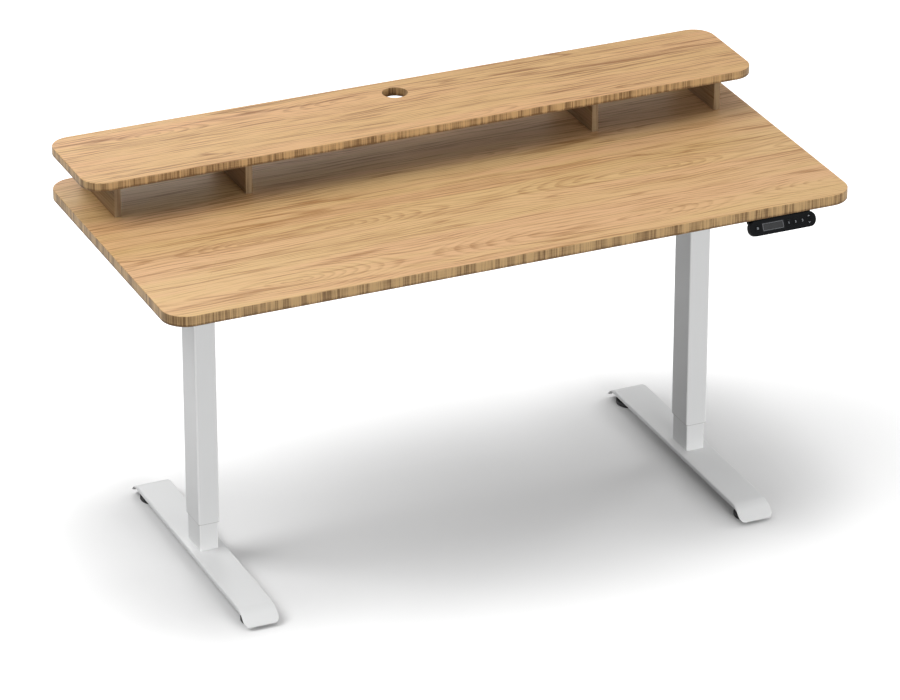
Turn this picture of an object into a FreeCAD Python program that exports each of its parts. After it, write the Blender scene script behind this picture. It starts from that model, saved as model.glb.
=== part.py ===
import FreeCAD, Part
import math
import os
import re
import Sketcher

# Standing desk with a monitor shelf on two motor-driven telescopic legs, in millimetres.
# X runs along the width, Y to the back and Z up, from the floor under the middle of the desk top.
# The desk is drawn at the height of the photograph, between its lowest and its highest setting.

SIZES = [
    # Desk top
    ("top_width", 1600),
    ("top_depth", 760),
    ("top_thickness", 25),
    ("top_height", 790),
    ("top_corner", 55),
    ("board_edge_round", 2),
    # Monitor shelf and its four upright supports
    ("shelf_depth", 268),
    ("shelf_thickness", 20),
    ("shelf_corner", 50),
    ("shelf_gap", 83),
    ("shelf_back_inset", 8),
    ("support_thickness", 15),
    ("support_front_inset", 38),
    ("support_back_inset", 12),
    ("support_end_inset", 80),
    ("support_inner_x", 416),
    ("cable_hole_radius", 29),
    ("cable_hole_inset", 66),
    ("joint_inset", 30),
    ("dowel_radius", 4),
    ("dowel_length", 24),
    ("dowel_in_shelf", 10),
    # Fasteners
    ("fastener_clearance", 0.05),
    ("shelf_screw_radius", 2.5),
    ("shelf_screw_length", 60),
    ("shelf_screw_head_radius", 5),
    ("shelf_screw_head_height", 3),
    ("wood_screw_radius", 2),
    ("wood_screw_length", 18),
    ("wood_screw_head_radius", 4.5),
    ("wood_screw_head_height", 2.5),
    ("frame_bolt_radius", 3),
    ("frame_bolt_length", 10),
    ("frame_bolt_head_radius", 5.5),
    ("frame_bolt_head_height", 4),
    # Frame under the top
    ("column_inset", 204.5),
    ("head_length", 260),
    ("head_width", 90),
    ("head_wall", 2.5),
    ("head_room", 7.5),
    ("head_end_gap", 10),
    ("rail_height", 40),
    ("rail_thickness", 20),
    ("rail_wall", 1.5),
    ("rail_lap", 60),
    ("rail_bolt_inset", 15),
    ("bracket_length", 600),
    ("bracket_flange", 50),
    ("bracket_web", 40),
    ("bracket_thickness", 3),
    ("bracket_bolt_y", 25),
    ("bracket_screw_inset", 30),
    ("bracket_screw_inner_y", 100),
    # Telescopic columns, with the way down to the lowest setting and up to the highest
    ("lift_down", 60),
    ("lift_up", 400),
    ("low_head_gap", 13),
    ("low_foot_gap", 5),
    ("outer_tube_width", 50),
    ("outer_tube_depth", 80),
    ("outer_tube_wall", 1.5),
    ("outer_tube_corner", 5),
    ("tube_gap", 1.5),
    ("inner_tube_wall", 1.5),
    ("inner_tube_corner", 4),
    ("inner_tube_base", 8),
    ("slide_clearance", 0.3),
    ("bush_height", 40),
    ("bush_lip", 2),
    ("bush_lip_inset", 0.5),
    ("guide_height", 40),
    ("guide_rim", 4),
    ("guide_hole_radius", 16),
    # Lifting drive
    ("running_clearance", 0.05),
    ("gearbox_length", 70),
    ("gearbox_height", 40),
    ("gearbox_side_gap", 0.5),
    ("gearbox_bolt_x", 20),
    ("motor_gap", 0.5),
    ("motor_length", 120),
    ("motor_boss_radius", 10),
    ("motor_boss_length", 6),
    ("spindle_radius", 7),
    ("spindle_reach", 30.5),
    ("spindle_seat", 15),
    ("spindle_hole_radius", 10),
    ("nut_height", 30),
    # Feet
    ("foot_width", 82),
    ("foot_length", 702),
    ("foot_slope_length", 42),
    ("foot_knee_length", 25),
    ("foot_top", 38),
    ("foot_knee_top", 31.7),
    ("foot_sheet", 2.5),
    ("foot_tip_top", 10.4),
    ("foot_tip_edge", 3),
    ("foot_nose_round", 14),
    ("foot_bend_round", 40),
    ("foot_bolt_x", 12),
    ("foot_bolt_y", 28),
    # Levelling glides
    ("glide_inset", 45),
    ("glide_radius", 33),
    ("glide_height", 12),
    ("glide_bevel", 2),
    ("glide_travel", 5),
    ("glide_nut_radius", 7),
    ("glide_nut_height", 13),
    ("stud_radius", 4),
    ("stud_start", 3),
    ("stud_end_gap", 1),
    # Control box
    ("box_length", 240),
    ("box_side_gap", 3),
    ("box_height", 30),
    ("box_wall", 2),
    ("box_corner", 4),
    ("box_base_thickness", 3),
    ("box_ear", 22),
    ("box_post_height", 5),
    ("box_post_radius", 4),
    ("box_post_inset_x", 25),
    ("box_post_inset_y", 14),
    ("box_board_margin", 3),
    ("board_thickness", 1.6),
    ("mains_inlet_width", 28),
    ("mains_inlet_height", 20),
    ("mains_inlet_y", 20),
    ("motor_socket_width", 10),
    ("motor_socket_height", 9),
    ("motor_socket_pitch", 14),
    # Handset, drawn lying on its back with its face at level 0, then hung at a tilt
    ("handset_inset", 182),
    ("handset_end_flat", 1),
    ("handset_depth", 14),
    ("handset_wall", 2),
    ("handset_edge_round", 1.5),
    ("handset_tilt", 25),
    ("handset_reach", 0.5),
    ("handset_drop", 0.3),
    ("cover_thickness", 2.5),
    ("cover_post_radius", 3),
    ("cover_post_x", 40),
    ("tab_width", 32),
    ("tab_length", 28),
    ("tab_thickness", 3),
    ("tab_inset", 21),
    ("tab_gap", 0.3),
    ("tab_web", 8),
    ("tab_web_drop", 8),
    ("tab_screw_back", 18),
    ("lens_width", 52),
    ("lens_height", 18),
    ("lens_thickness", 1.6),
    ("lens_side_gap", 6.25),
    ("lens_clearance", 0.05),
    ("display_margin", 3),
    ("display_gap", 0.2),
    ("handset_board_level", 6),
    ("handset_board_gap", 0.5),
    ("button_inset", 17.5),
    ("button_width", 11),
    ("button_length", 14),
    ("button_corner", 2.5),
    ("button_clearance", 0.3),
    ("button_proud", 0.8),
    ("button_flange", 1),
    ("button_travel", 0.6),
    ("button_play", 0.3),
    ("arrow_length", 11),
    ("arrow_gap", 3),
    ("face_margin", 4.5),
    ("preset_pitch", 16.5),
    ("switch_size", 6),
    ("switch_gap", 0.3),
]

doc = FreeCAD.newDocument("standing_desk")
sheet = doc.addObject("Spreadsheet::Sheet", "Size")
for row, (alias, number) in enumerate(SIZES, start=1):
    sheet.set(f"A{row}", alias)
    sheet.set(f"B{row}", str(number))
    sheet.setAlias(f"B{row}", alias)
doc.recompute()

# Levels and distances that follow from the sizes above
UNDERSIDE = "(top_height - top_thickness)"
SHELF_BOTTOM = "(top_height + shelf_gap)"
SHELF_BACK = "(top_depth / 2 - shelf_back_inset)"
SHELF_MIDDLE = f"({SHELF_BACK} - shelf_depth / 2)"
SUPPORT_DEPTH = "(shelf_depth - support_front_inset - support_back_inset)"
SUPPORT_MIDDLE = f"({SHELF_MIDDLE} + (support_front_inset - support_back_inset) / 2)"
SUPPORT_JOINT = f"({SUPPORT_DEPTH} / 2 - joint_inset)"
SUPPORT_END_X = "(top_width / 2 - support_end_inset)"
COLUMN_X = "(top_width / 2 - column_inset)"
HEAD_HEIGHT = "(head_wall + gearbox_height + head_room)"
HEAD_BOTTOM = f"({UNDERSIDE} - {HEAD_HEIGHT})"
HEAD_FLOOR = f"({HEAD_BOTTOM} + head_wall)"
HEAD_OUTER_END = f"({COLUMN_X} + gearbox_length / 2 + head_end_gap)"
HEAD_INNER_END = f"({HEAD_OUTER_END} - head_length)"
DRIVE_AXIS = f"({HEAD_FLOOR} + gearbox_height / 2)"
OUTER_BORE_WIDTH = "(outer_tube_width - 2 * outer_tube_wall)"
OUTER_BORE_DEPTH = "(outer_tube_depth - 2 * outer_tube_wall)"
OUTER_BORE_CORNER = "(outer_tube_corner - outer_tube_wall)"
INNER_WIDTH = f"({OUTER_BORE_WIDTH} - 2 * tube_gap)"
INNER_DEPTH = f"({OUTER_BORE_DEPTH} - 2 * tube_gap)"
INNER_BORE_WIDTH = f"({INNER_WIDTH} - 2 * inner_tube_wall)"
INNER_BORE_DEPTH = f"({INNER_DEPTH} - 2 * inner_tube_wall)"
INNER_BORE_CORNER = "(inner_tube_corner - inner_tube_wall)"
OUTER_BOTTOM = "(foot_top + lift_down + low_foot_gap + bush_lip)"
INNER_TOP = f"({HEAD_BOTTOM} - lift_down - low_head_gap - guide_rim)"
INNER_LENGTH = f"({INNER_TOP} - foot_top)"
SPINDLE_BOTTOM = f"({INNER_TOP} - nut_height - spindle_reach - lift_up)"
FOOT_UNDERSIDE = "(foot_top - foot_sheet)"
FOOT_TIP = "foot_length / 2"
FOOT_BEND = f"({FOOT_TIP} - foot_slope_length)"
FOOT_KNEE = f"({FOOT_TIP} - foot_knee_length)"
GLIDE_Y = f"({FOOT_TIP} - glide_inset)"
STUD_TOP = f"({FOOT_UNDERSIDE} - glide_travel - stud_end_gap)"
BOX_WIDTH = "(head_width - 2 * box_side_gap)"
BOX_TOP = f"({UNDERSIDE} - box_base_thickness)"
BOX_BOTTOM = f"({BOX_TOP} - box_height)"
BOX_BOARD_BOTTOM = f"({BOX_BOTTOM} + box_wall + box_post_height)"
HANDSET_WIDTH = "(2 * button_inset + button_width + 2 * lens_side_gap + lens_width + 3 * preset_pitch)"
HANDSET_HEIGHT = "(2 * face_margin + 2 * arrow_length + arrow_gap)"
HANDSET_CORNER = f"({HANDSET_HEIGHT} / 2 - handset_end_flat)"
HANDSET_X = "(top_width / 2 - handset_inset)"
TILT = "(handset_tilt * 1 deg)"
FACE_Y = f"(-top_depth / 2 - handset_reach - {HANDSET_HEIGHT} / 2 * sin({TILT}))"
FACE_Z = f"({UNDERSIDE} - handset_drop - {HANDSET_HEIGHT} / 2 * cos({TILT}))"
FLANGE_TOP = "(-handset_wall - button_play)"
MEMORY_X = f"(-{HANDSET_WIDTH} / 2 + button_inset)"
LENS_X = f"({MEMORY_X} + button_width / 2 + lens_side_gap + lens_width / 2)"
PRESET_X = f"({LENS_X} + lens_width / 2 + lens_side_gap + button_width / 2)"
ARROW_Y = "((arrow_length + arrow_gap) / 2)"
CASE_BACK_Y = f"({FACE_Y} + handset_depth * cos({TILT}) + {HANDSET_HEIGHT} / 2 * sin({TILT}))"
CASE_BACK_Z = f"({FACE_Z} - handset_depth * sin({TILT}) + {HANDSET_HEIGHT} / 2 * cos({TILT}))"
TAB_FRONT = f"({CASE_BACK_Y} + tab_gap)"

SIDES = {"left": -1, "right": 1}
ENDS = {"front": -1, "back": 1}
SUPPORTS = {
    "left_end": f"-{SUPPORT_END_X}",
    "left_inner": "-support_inner_x",
    "right_inner": "support_inner_x",
    "right_end": SUPPORT_END_X,
}
BUTTONS = {
    "memory": (MEMORY_X, "0", "button_length"),
    "preset_1": (PRESET_X, "0", "button_length"),
    "preset_2": (f"({PRESET_X} + preset_pitch)", "0", "button_length"),
    "preset_3": (f"({PRESET_X} + 2 * preset_pitch)", "0", "button_length"),
    "up": (f"({PRESET_X} + 3 * preset_pitch)", ARROW_Y, "arrow_length"),
    "down": (f"({PRESET_X} + 3 * preset_pitch)", f"-{ARROW_Y}", "arrow_length"),
}
UP = FreeCAD.Vector(0, 0, 1)
DIRECTIONS = {
    "+X": FreeCAD.Vector(1, 0, 0),
    "-X": FreeCAD.Vector(-1, 0, 0),
    "+Y": FreeCAD.Vector(0, 1, 0),
    "-Y": FreeCAD.Vector(0, -1, 0),
    "+Z": UP,
}
parts = {}


def sized(formula):
    """Point every size name in a formula at its cell of the sheet."""
    return re.sub(r"[a-z]+_\w+", lambda word: "Size." + word.group(), formula)


def number_of(formula):
    return float(sheet.evalExpression(sized(formula)))


def bind(item, **formulas):
    for field, formula in formulas.items():
        item.setExpression(field, sized(formula))
    return item


def place(item, x="0", y="0", z="0"):
    for field, formula in zip("xyz", (x, y, z)):
        item.setExpression(f"Placement.Base.{field}", sized(formula))
    return item


def keep(name, item):
    """Name a finished sub-part."""
    item.Label = name
    parts[name] = item


def block(name, size, middle, bottom):
    """Box from its length, width and height, the middle of its plan and its lowest level."""
    length, width, height = size
    box = bind(doc.addObject("Part::Box", name), Length=length, Width=width, Height=height)
    return place(box, f"{middle[0]} - {length} / 2", f"{middle[1]} - {width} / 2", bottom)


def rod(name, radius, length, start, direction="+Z"):
    """Round bar from the middle of its first end along a direction."""
    bar = bind(doc.addObject("Part::Cylinder", name), Radius=radius, Height=length)
    bar.Placement.Rotation = FreeCAD.Rotation(UP, DIRECTIONS[direction])
    return place(bar, *start)


def cut(name, base, *tools):
    for step, tool in enumerate(tools, start=1):
        result = doc.addObject("Part::Cut", f"{name}_cut_{step}")
        result.Base = base
        result.Tool = tool
        base = result
    return base


def fuse(name, *pieces):
    result = doc.addObject("Part::MultiFuse", f"{name}_fuse")
    result.Shapes = list(pieces)
    return result


def group(name, pieces):
    """Solids that stay separate in one object."""
    result = doc.addObject("Part::Compound", f"{name}_group")
    result.Links = list(pieces)
    return result


def fasteners(name, kind, places):
    """Screws or bolts of one kind; a place is the point under the head and the way the shank points."""
    pieces = []
    for index, (point, direction) in enumerate(places, start=1):
        label = f"{name}_{index}"
        shank = rod(f"{label}_shank", f"{kind}_radius", f"{kind}_length", ("0", "0", "0"))
        head_start = ("0", "0", f"-{kind}_head_height")
        head = rod(f"{label}_head", f"{kind}_head_radius", f"{kind}_head_height", head_start)
        piece = fuse(label, head, shank)
        piece.Placement.Rotation = FreeCAD.Rotation(UP, DIRECTIONS[direction])
        pieces.append(place(piece, *point))
    return group(name, pieces)


def fastener_holes(name, kind, places):
    """The holes that fasteners of one kind leave in what they pass through."""
    radius = f"{kind}_radius + fastener_clearance"
    length = f"{kind}_length + fastener_clearance"
    holes = []
    for index, (point, direction) in enumerate(places, start=1):
        holes.append(rod(f"{name}_hole_{index}", radius, length, point, direction))
    return group(f"{name}_holes", holes)


def new_body(name):
    return doc.addObject("PartDesign::Body", f"{name}_body")


def new_sketch(body, name, role, level="0"):
    plane = next(plane for plane in body.Origin.OriginFeatures if plane.Role == role)
    sketch = body.newObject("Sketcher::SketchObject", name)
    sketch.AttachmentSupport = [(plane, "")]
    sketch.MapMode = "FlatFace"
    sketch.setExpression("AttachmentOffset.Base.z", sized(level))
    return sketch


def constrain(sketch, formula, kind, *where):
    index = sketch.addConstraint(Sketcher.Constraint(kind, *where, number_of(formula)))
    sketch.setExpression(f"Constraints[{index}]", sized(formula))


def draw_outline(sketch, corners):
    """Closed outline through corners that are each a pair of formulas."""
    points = [FreeCAD.Vector(number_of(across), number_of(along)) for across, along in corners]
    count = len(points)
    for index in range(count):
        sketch.addGeometry(Part.LineSegment(points[index], points[(index + 1) % count]))
    for index in range(count):
        sketch.addConstraint(Sketcher.Constraint("Coincident", index, 2, (index + 1) % count, 1))
        constrain(sketch, corners[index][0], "DistanceX", -1, 1, index, 1)
        constrain(sketch, corners[index][1], "DistanceY", -1, 1, index, 1)


def draw_rounded(sketch, width, depth, corner):
    """Rectangle about the sketch's origin with four equal round corners."""
    half_x = number_of(width) / 2
    half_y = number_of(depth) / 2
    radius = number_of(corner)
    flat_x = half_x - radius
    flat_y = half_y - radius
    quarter_turn = math.pi / 2
    point = FreeCAD.Vector
    sketch.addGeometry(Part.LineSegment(point(-flat_x, -half_y), point(flat_x, -half_y)))
    sketch.addGeometry(Part.LineSegment(point(half_x, -flat_y), point(half_x, flat_y)))
    sketch.addGeometry(Part.LineSegment(point(flat_x, half_y), point(-flat_x, half_y)))
    sketch.addGeometry(Part.LineSegment(point(-half_x, flat_y), point(-half_x, -flat_y)))
    for turn, (sign_x, sign_y) in enumerate([(1, -1), (1, 1), (-1, 1), (-1, -1)], start=3):
        circle = Part.Circle(point(sign_x * flat_x, sign_y * flat_y), UP, radius)
        sketch.addGeometry(Part.ArcOfCircle(circle, turn * quarter_turn, (turn + 1) * quarter_turn))
    for side in range(4):
        arc = side + 4
        direction = "Horizontal" if side % 2 == 0 else "Vertical"
        sketch.addConstraint(Sketcher.Constraint(direction, side))
        sketch.addConstraint(Sketcher.Constraint("Tangent", side, 2, arc, 1))
        sketch.addConstraint(Sketcher.Constraint("Tangent", arc, 2, (side + 1) % 4, 1))
    for arc in (5, 6, 7):
        sketch.addConstraint(Sketcher.Constraint("Equal", 4, arc))
    sketch.addConstraint(Sketcher.Constraint("Symmetric", 4, 3, 6, 3, -1, 1))
    constrain(sketch, corner, "Radius", 4)
    constrain(sketch, width, "DistanceX", 3, 1, 1, 1)
    constrain(sketch, depth, "DistanceY", 0, 1, 2, 1)


def add_plate(body, name, outline, level, height):
    """Pad a rounded rectangle, given by its width, depth and corner, upward from a level."""
    sketch = new_sketch(body, f"{name}_outline", "XY_Plane", level)
    draw_rounded(sketch, *outline)
    pad = body.newObject("PartDesign::Pad", f"{name}_pad")
    pad.Profile = sketch
    bind(pad, Length=height)


def sink_plate(body, name, outline, level, height):
    """Cut a rounded rectangle, given by its width, depth and corner, downward from a level."""
    sketch = new_sketch(body, f"{name}_opening", "XY_Plane", level)
    draw_rounded(sketch, *outline)
    pocket = body.newObject("PartDesign::Pocket", f"{name}_pocket")
    pocket.Profile = sketch
    bind(pocket, Length=height)


def rounded_plate(name, outline, level, height):
    body = new_body(name)
    add_plate(body, name, outline, level, height)
    return body


def round_flat_faces(body, name, radius, directions):
    """Round the edges of a plate's faces that look straight up (1) or straight down (-1)."""
    doc.recompute()
    base = body.Tip
    faces = [
        f"Face{index}"
        for index, face in enumerate(base.Shape.Faces, start=1)
        if any(math.isclose(face.normalAt(0, 0).z, direction) for direction in directions)
    ]
    fillet = body.newObject("PartDesign::Fillet", f"{name}_rounding")
    fillet.Base = (base, faces)
    bind(fillet, Radius=radius)


def shelf_joint_places():
    """Plan positions of the dowels and screws, two in each support."""
    return [
        (x, f"{SUPPORT_MIDDLE} + {end} * {SUPPORT_JOINT}")
        for x in SUPPORTS.values()
        for end in ENDS.values()
    ]


def shelf_screw_places():
    level = f"{UNDERSIDE} + shelf_screw_head_height"
    return [((x, y, level), "+Z") for x, y in shelf_joint_places()]


def bracket_screw_places():
    level = f"{UNDERSIDE} - bracket_thickness"
    along = ("(bracket_length / 2 - bracket_screw_inset)", "bracket_screw_inner_y")
    return [
        ((f"{side} * ({HEAD_OUTER_END} + bracket_flange / 2)", f"{end} * {y}", level), "+Z")
        for side in SIDES.values()
        for end in ENDS.values()
        for y in along
    ]


def box_screw_places():
    return [((f"{side} * (box_length / 2 + box_ear / 2)", "0", BOX_TOP), "+Z") for side in SIDES.values()]


def tab_middles():
    return [f"({HANDSET_X} + {side} * ({HANDSET_WIDTH} / 2 - tab_inset))" for side in SIDES.values()]


def tab_screw_places():
    level = f"{UNDERSIDE} - tab_thickness"
    return [((x, f"{TAB_FRONT} + tab_screw_back", level), "+Z") for x in tab_middles()]


def bracket_bolt_places(side):
    """Bolts from the bracket's web inward through the end of the head."""
    x = f"{side} * ({HEAD_OUTER_END} + bracket_thickness)"
    level = f"{UNDERSIDE} - bracket_web / 2"
    inward = "-X" if side > 0 else "+X"
    return [((x, f"{end} * bracket_bolt_y", level), inward) for end in ENDS.values()]


def rail_bolt_places(end):
    """Bolts from inside both heads outward into one rail."""
    y = f"{end} * (head_width / 2 - head_wall)"
    level = f"{UNDERSIDE} - rail_height / 2"
    outward = "+Y" if end > 0 else "-Y"
    return [
        ((f"{side} * ({HEAD_INNER_END} + {x})", y, level), outward)
        for side in SIDES.values()
        for x in ("rail_bolt_inset", "rail_lap - rail_bolt_inset")
    ]


def gearbox_bolt_places(side):
    """Bolts from outside the head's walls into the gearbox."""
    return [
        ((f"{side} * {COLUMN_X} + {shift} * gearbox_bolt_x", f"{end} * head_width / 2", DRIVE_AXIS), inward)
        for end, inward in ((-1, "+Y"), (1, "-Y"))
        for shift in SIDES.values()
    ]


def foot_bolt_places(side):
    """Bolts from under the foot up into the base of the inner tube."""
    return [
        ((f"{side} * {COLUMN_X} + {across} * foot_bolt_x", f"{end} * foot_bolt_y", FOOT_UNDERSIDE), "+Z")
        for across in SIDES.values()
        for end in ENDS.values()
    ]


def make_desk_top(screw_holes):
    """Wooden board with round corners, drilled from below for every screw that bites into it."""
    outline = ("top_width", "top_depth", "top_corner")
    body = rounded_plate("desk_top", outline, UNDERSIDE, "top_thickness")
    round_flat_faces(body, "desk_top", "board_edge_round", (1, -1))
    radius = "shelf_screw_head_radius + fastener_clearance"
    sinks = [
        rod(f"head_sink_{index}", radius, "shelf_screw_head_height", (x, y, UNDERSIDE))
        for index, (x, y) in enumerate(shelf_joint_places(), start=1)
    ]
    keep("desk_top", cut("desk_top", body, group("head_sinks", sinks), *screw_holes))


def make_shelf(screw_holes):
    """Monitor shelf on four upright boards, doweled at the top and screwed through the desk top below."""
    dowels = []
    holes = []
    for index, (x, y) in enumerate(shelf_joint_places(), start=1):
        start = (x, y, f"{SHELF_BOTTOM} + dowel_in_shelf - dowel_length")
        dowels.append(rod(f"dowel_{index}", "dowel_radius", "dowel_length", start))
        holes.append(rod(f"dowel_hole_{index}", "dowel_radius + fastener_clearance", "dowel_length", start))
    keep("shelf_dowels", group("shelf_dowels", dowels))
    dowel_holes = group("dowel_holes", holes)

    outline = ("top_width", "shelf_depth", "shelf_corner")
    board = rounded_plate("shelf_board", outline, SHELF_BOTTOM, "shelf_thickness")
    round_flat_faces(board, "shelf_board", "board_edge_round", (1, -1))
    place(board, y=SHELF_MIDDLE)
    hole_start = ("0", f"{SHELF_BACK} - cable_hole_inset", SHELF_BOTTOM)
    cable_hole = rod("cable_hole", "cable_hole_radius", "shelf_thickness", hole_start)
    keep("monitor_shelf", cut("monitor_shelf", board, cable_hole, dowel_holes))

    for name, x in SUPPORTS.items():
        label = f"shelf_support_{name}"
        size = ("support_thickness", SUPPORT_DEPTH, "shelf_gap")
        upright = block(f"{label}_board", size, (x, SUPPORT_MIDDLE), "top_height")
        keep(label, cut(label, upright, dowel_holes, screw_holes))
    keep("shelf_screws", fasteners("shelf_screw", "shelf_screw", shelf_screw_places()))


def make_rails(bolt_holes):
    """Two rectangular tubes that join the heads, one in front of the drives and one behind."""
    length = f"(2 * ({HEAD_INNER_END} + rail_lap))"
    level = f"{UNDERSIDE} - rail_height"
    for name, end in ENDS.items():
        label = f"frame_rail_{name}"
        middle = ("0", f"{end} * (head_width / 2 + rail_thickness / 2)")
        bar = block(f"{label}_bar", (length, "rail_thickness", "rail_height"), middle, level)
        bore_size = (length, "(rail_thickness - 2 * rail_wall)", "(rail_height - 2 * rail_wall)")
        bore = block(f"{label}_bore", bore_size, middle, f"{level} + rail_wall")
        keep(label, cut(label, bar, bore, bolt_holes[name]))


def make_head(name, side, rail_holes, bracket_holes, gearbox_holes):
    """Steel tray that carries one column and its drive, open at the top and towards the middle."""
    label = f"column_head_{name}"
    middle = f"{side} * ({HEAD_OUTER_END} - head_length / 2)"
    tray = block(f"{label}_tray", ("head_length", "head_width", HEAD_HEIGHT), (middle, "0"), HEAD_BOTTOM)
    inside = ("head_length", "(head_width - 2 * head_wall)", HEAD_HEIGHT)
    hollow = block(f"{label}_hollow", inside, (f"{middle} - {side} * head_wall", "0"), HEAD_FLOOR)
    hole_start = (f"{side} * {COLUMN_X}", "0", HEAD_BOTTOM)
    spindle_hole = rod(f"{label}_spindle_hole", "spindle_hole_radius", "head_wall", hole_start)
    holes = (spindle_hole, bracket_holes, gearbox_holes, *rail_holes.values())
    keep(label, cut(label, tray, hollow, *holes))


def make_bracket(name, side, bolt_holes, screw_holes):
    """Steel angle along the end of the desk, bolted to the head and screwed to the top."""
    label = f"side_bracket_{name}"
    flange_size = ("bracket_flange", "bracket_length", "bracket_thickness")
    flange_middle = (f"{side} * ({HEAD_OUTER_END} + bracket_flange / 2)", "0")
    flange = block(f"{label}_flange", flange_size, flange_middle, f"{UNDERSIDE} - bracket_thickness")
    web_size = ("bracket_thickness", "bracket_length", "bracket_web")
    web_middle = (f"{side} * ({HEAD_OUTER_END} + bracket_thickness / 2)", "0")
    web = block(f"{label}_web", web_size, web_middle, f"{UNDERSIDE} - bracket_web")
    keep(label, cut(label, fuse(label, flange, web), bolt_holes, screw_holes))


def make_drive(name, side, bolt_holes):
    """Gearbox in the head, motor lying beside it and the lifting spindle hanging from it."""
    gearbox_width = "(head_width - 2 * head_wall - 2 * gearbox_side_gap)"
    size = ("gearbox_length", gearbox_width, "gearbox_height")
    column = (f"{side} * {COLUMN_X}", "0")
    housing = block(f"gearbox_{name}_housing", size, column, HEAD_FLOOR)
    bore_radius = "spindle_radius + running_clearance"
    bore = rod(f"gearbox_{name}_bore", bore_radius, "spindle_seat", (*column, HEAD_FLOOR))
    keep(f"gearbox_{name}", cut(f"gearbox_{name}", housing, bore, bolt_holes))

    inward = "-X" if side > 0 else "+X"
    start = (f"{side} * ({COLUMN_X} - gearbox_length / 2)", "0", DRIVE_AXIS)
    case = rod(f"motor_{name}_case", "gearbox_height / 2 - motor_gap", "motor_length", start, inward)
    boss_start = (f"{side} * ({COLUMN_X} - gearbox_length / 2 - motor_length)", "0", DRIVE_AXIS)
    boss = rod(f"motor_{name}_boss", "motor_boss_radius", "motor_boss_length", boss_start, inward)
    keep(f"motor_{name}", fuse(f"motor_{name}", case, boss))

    spindle_length = f"{HEAD_FLOOR} + spindle_seat - {SPINDLE_BOTTOM}"
    bar = rod(f"spindle_{name}_bar", "spindle_radius", spindle_length, (*column, SPINDLE_BOTTOM))
    keep(f"spindle_{name}", bar)


def make_outer_tube(name, side):
    """Tube welded under the head, with a plastic bush in its mouth that the inner tube slides in."""
    column_x = f"{side} * {COLUMN_X}"
    length = f"({HEAD_BOTTOM} - {OUTER_BOTTOM})"
    bore = (OUTER_BORE_WIDTH, OUTER_BORE_DEPTH, OUTER_BORE_CORNER)
    label = f"outer_tube_{name}"
    tube = rounded_plate(label, ("outer_tube_width", "outer_tube_depth", "outer_tube_corner"), "0", length)
    sink_plate(tube, label, bore, length, length)
    keep(label, place(tube, column_x, "0", OUTER_BOTTOM))

    label = f"tube_bush_{name}"
    lip = (
        "outer_tube_width - 2 * bush_lip_inset",
        "outer_tube_depth - 2 * bush_lip_inset",
        "outer_tube_corner - bush_lip_inset",
    )
    slide = (
        f"{INNER_WIDTH} + 2 * slide_clearance",
        f"{INNER_DEPTH} + 2 * slide_clearance",
        "inner_tube_corner + slide_clearance",
    )
    bush = rounded_plate(f"{label}_lip", lip, "-bush_lip", "bush_lip")
    add_plate(bush, label, bore, "0", "bush_height")
    sink_plate(bush, label, slide, "bush_height", "bush_height + bush_lip")
    keep(label, place(bush, column_x, "0", OUTER_BOTTOM))


def make_inner_tube(name, side, bolt_holes):
    """Tube bolted to the foot, with the spindle nut in its top and a plastic guide around it."""
    column_x = f"{side} * {COLUMN_X}"
    outside = (INNER_WIDTH, INNER_DEPTH, "inner_tube_corner")
    bore = (INNER_BORE_WIDTH, INNER_BORE_DEPTH, INNER_BORE_CORNER)
    label = f"inner_tube_{name}"
    tube = rounded_plate(label, outside, "0", INNER_LENGTH)
    sink_plate(tube, label, bore, INNER_LENGTH, f"{INNER_LENGTH} - inner_tube_base")
    keep(label, cut(label, place(tube, column_x, "0", "foot_top"), bolt_holes))

    label = f"inner_guide_{name}"
    slide = (
        f"{OUTER_BORE_WIDTH} - 2 * slide_clearance",
        f"{OUTER_BORE_DEPTH} - 2 * slide_clearance",
        f"{OUTER_BORE_CORNER} - slide_clearance",
    )
    guide = rounded_plate(label, slide, "-guide_height", "guide_height + guide_rim")
    sink_plate(guide, label, outside, "0", "guide_height")
    place(guide, column_x, "0", INNER_TOP)
    hole = rod(f"{label}_hole", "guide_hole_radius", "guide_rim", (column_x, "0", INNER_TOP))
    keep(label, cut(label, guide, hole))

    label = f"spindle_nut_{name}"
    nut = rounded_plate(label, bore, "-nut_height", "nut_height")
    place(nut, column_x, "0", INNER_TOP)
    thread_start = (column_x, "0", f"{INNER_TOP} - nut_height")
    thread = rod(f"{label}_thread", "spindle_radius + running_clearance", "nut_height", thread_start)
    keep(label, cut(label, nut, thread))


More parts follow.
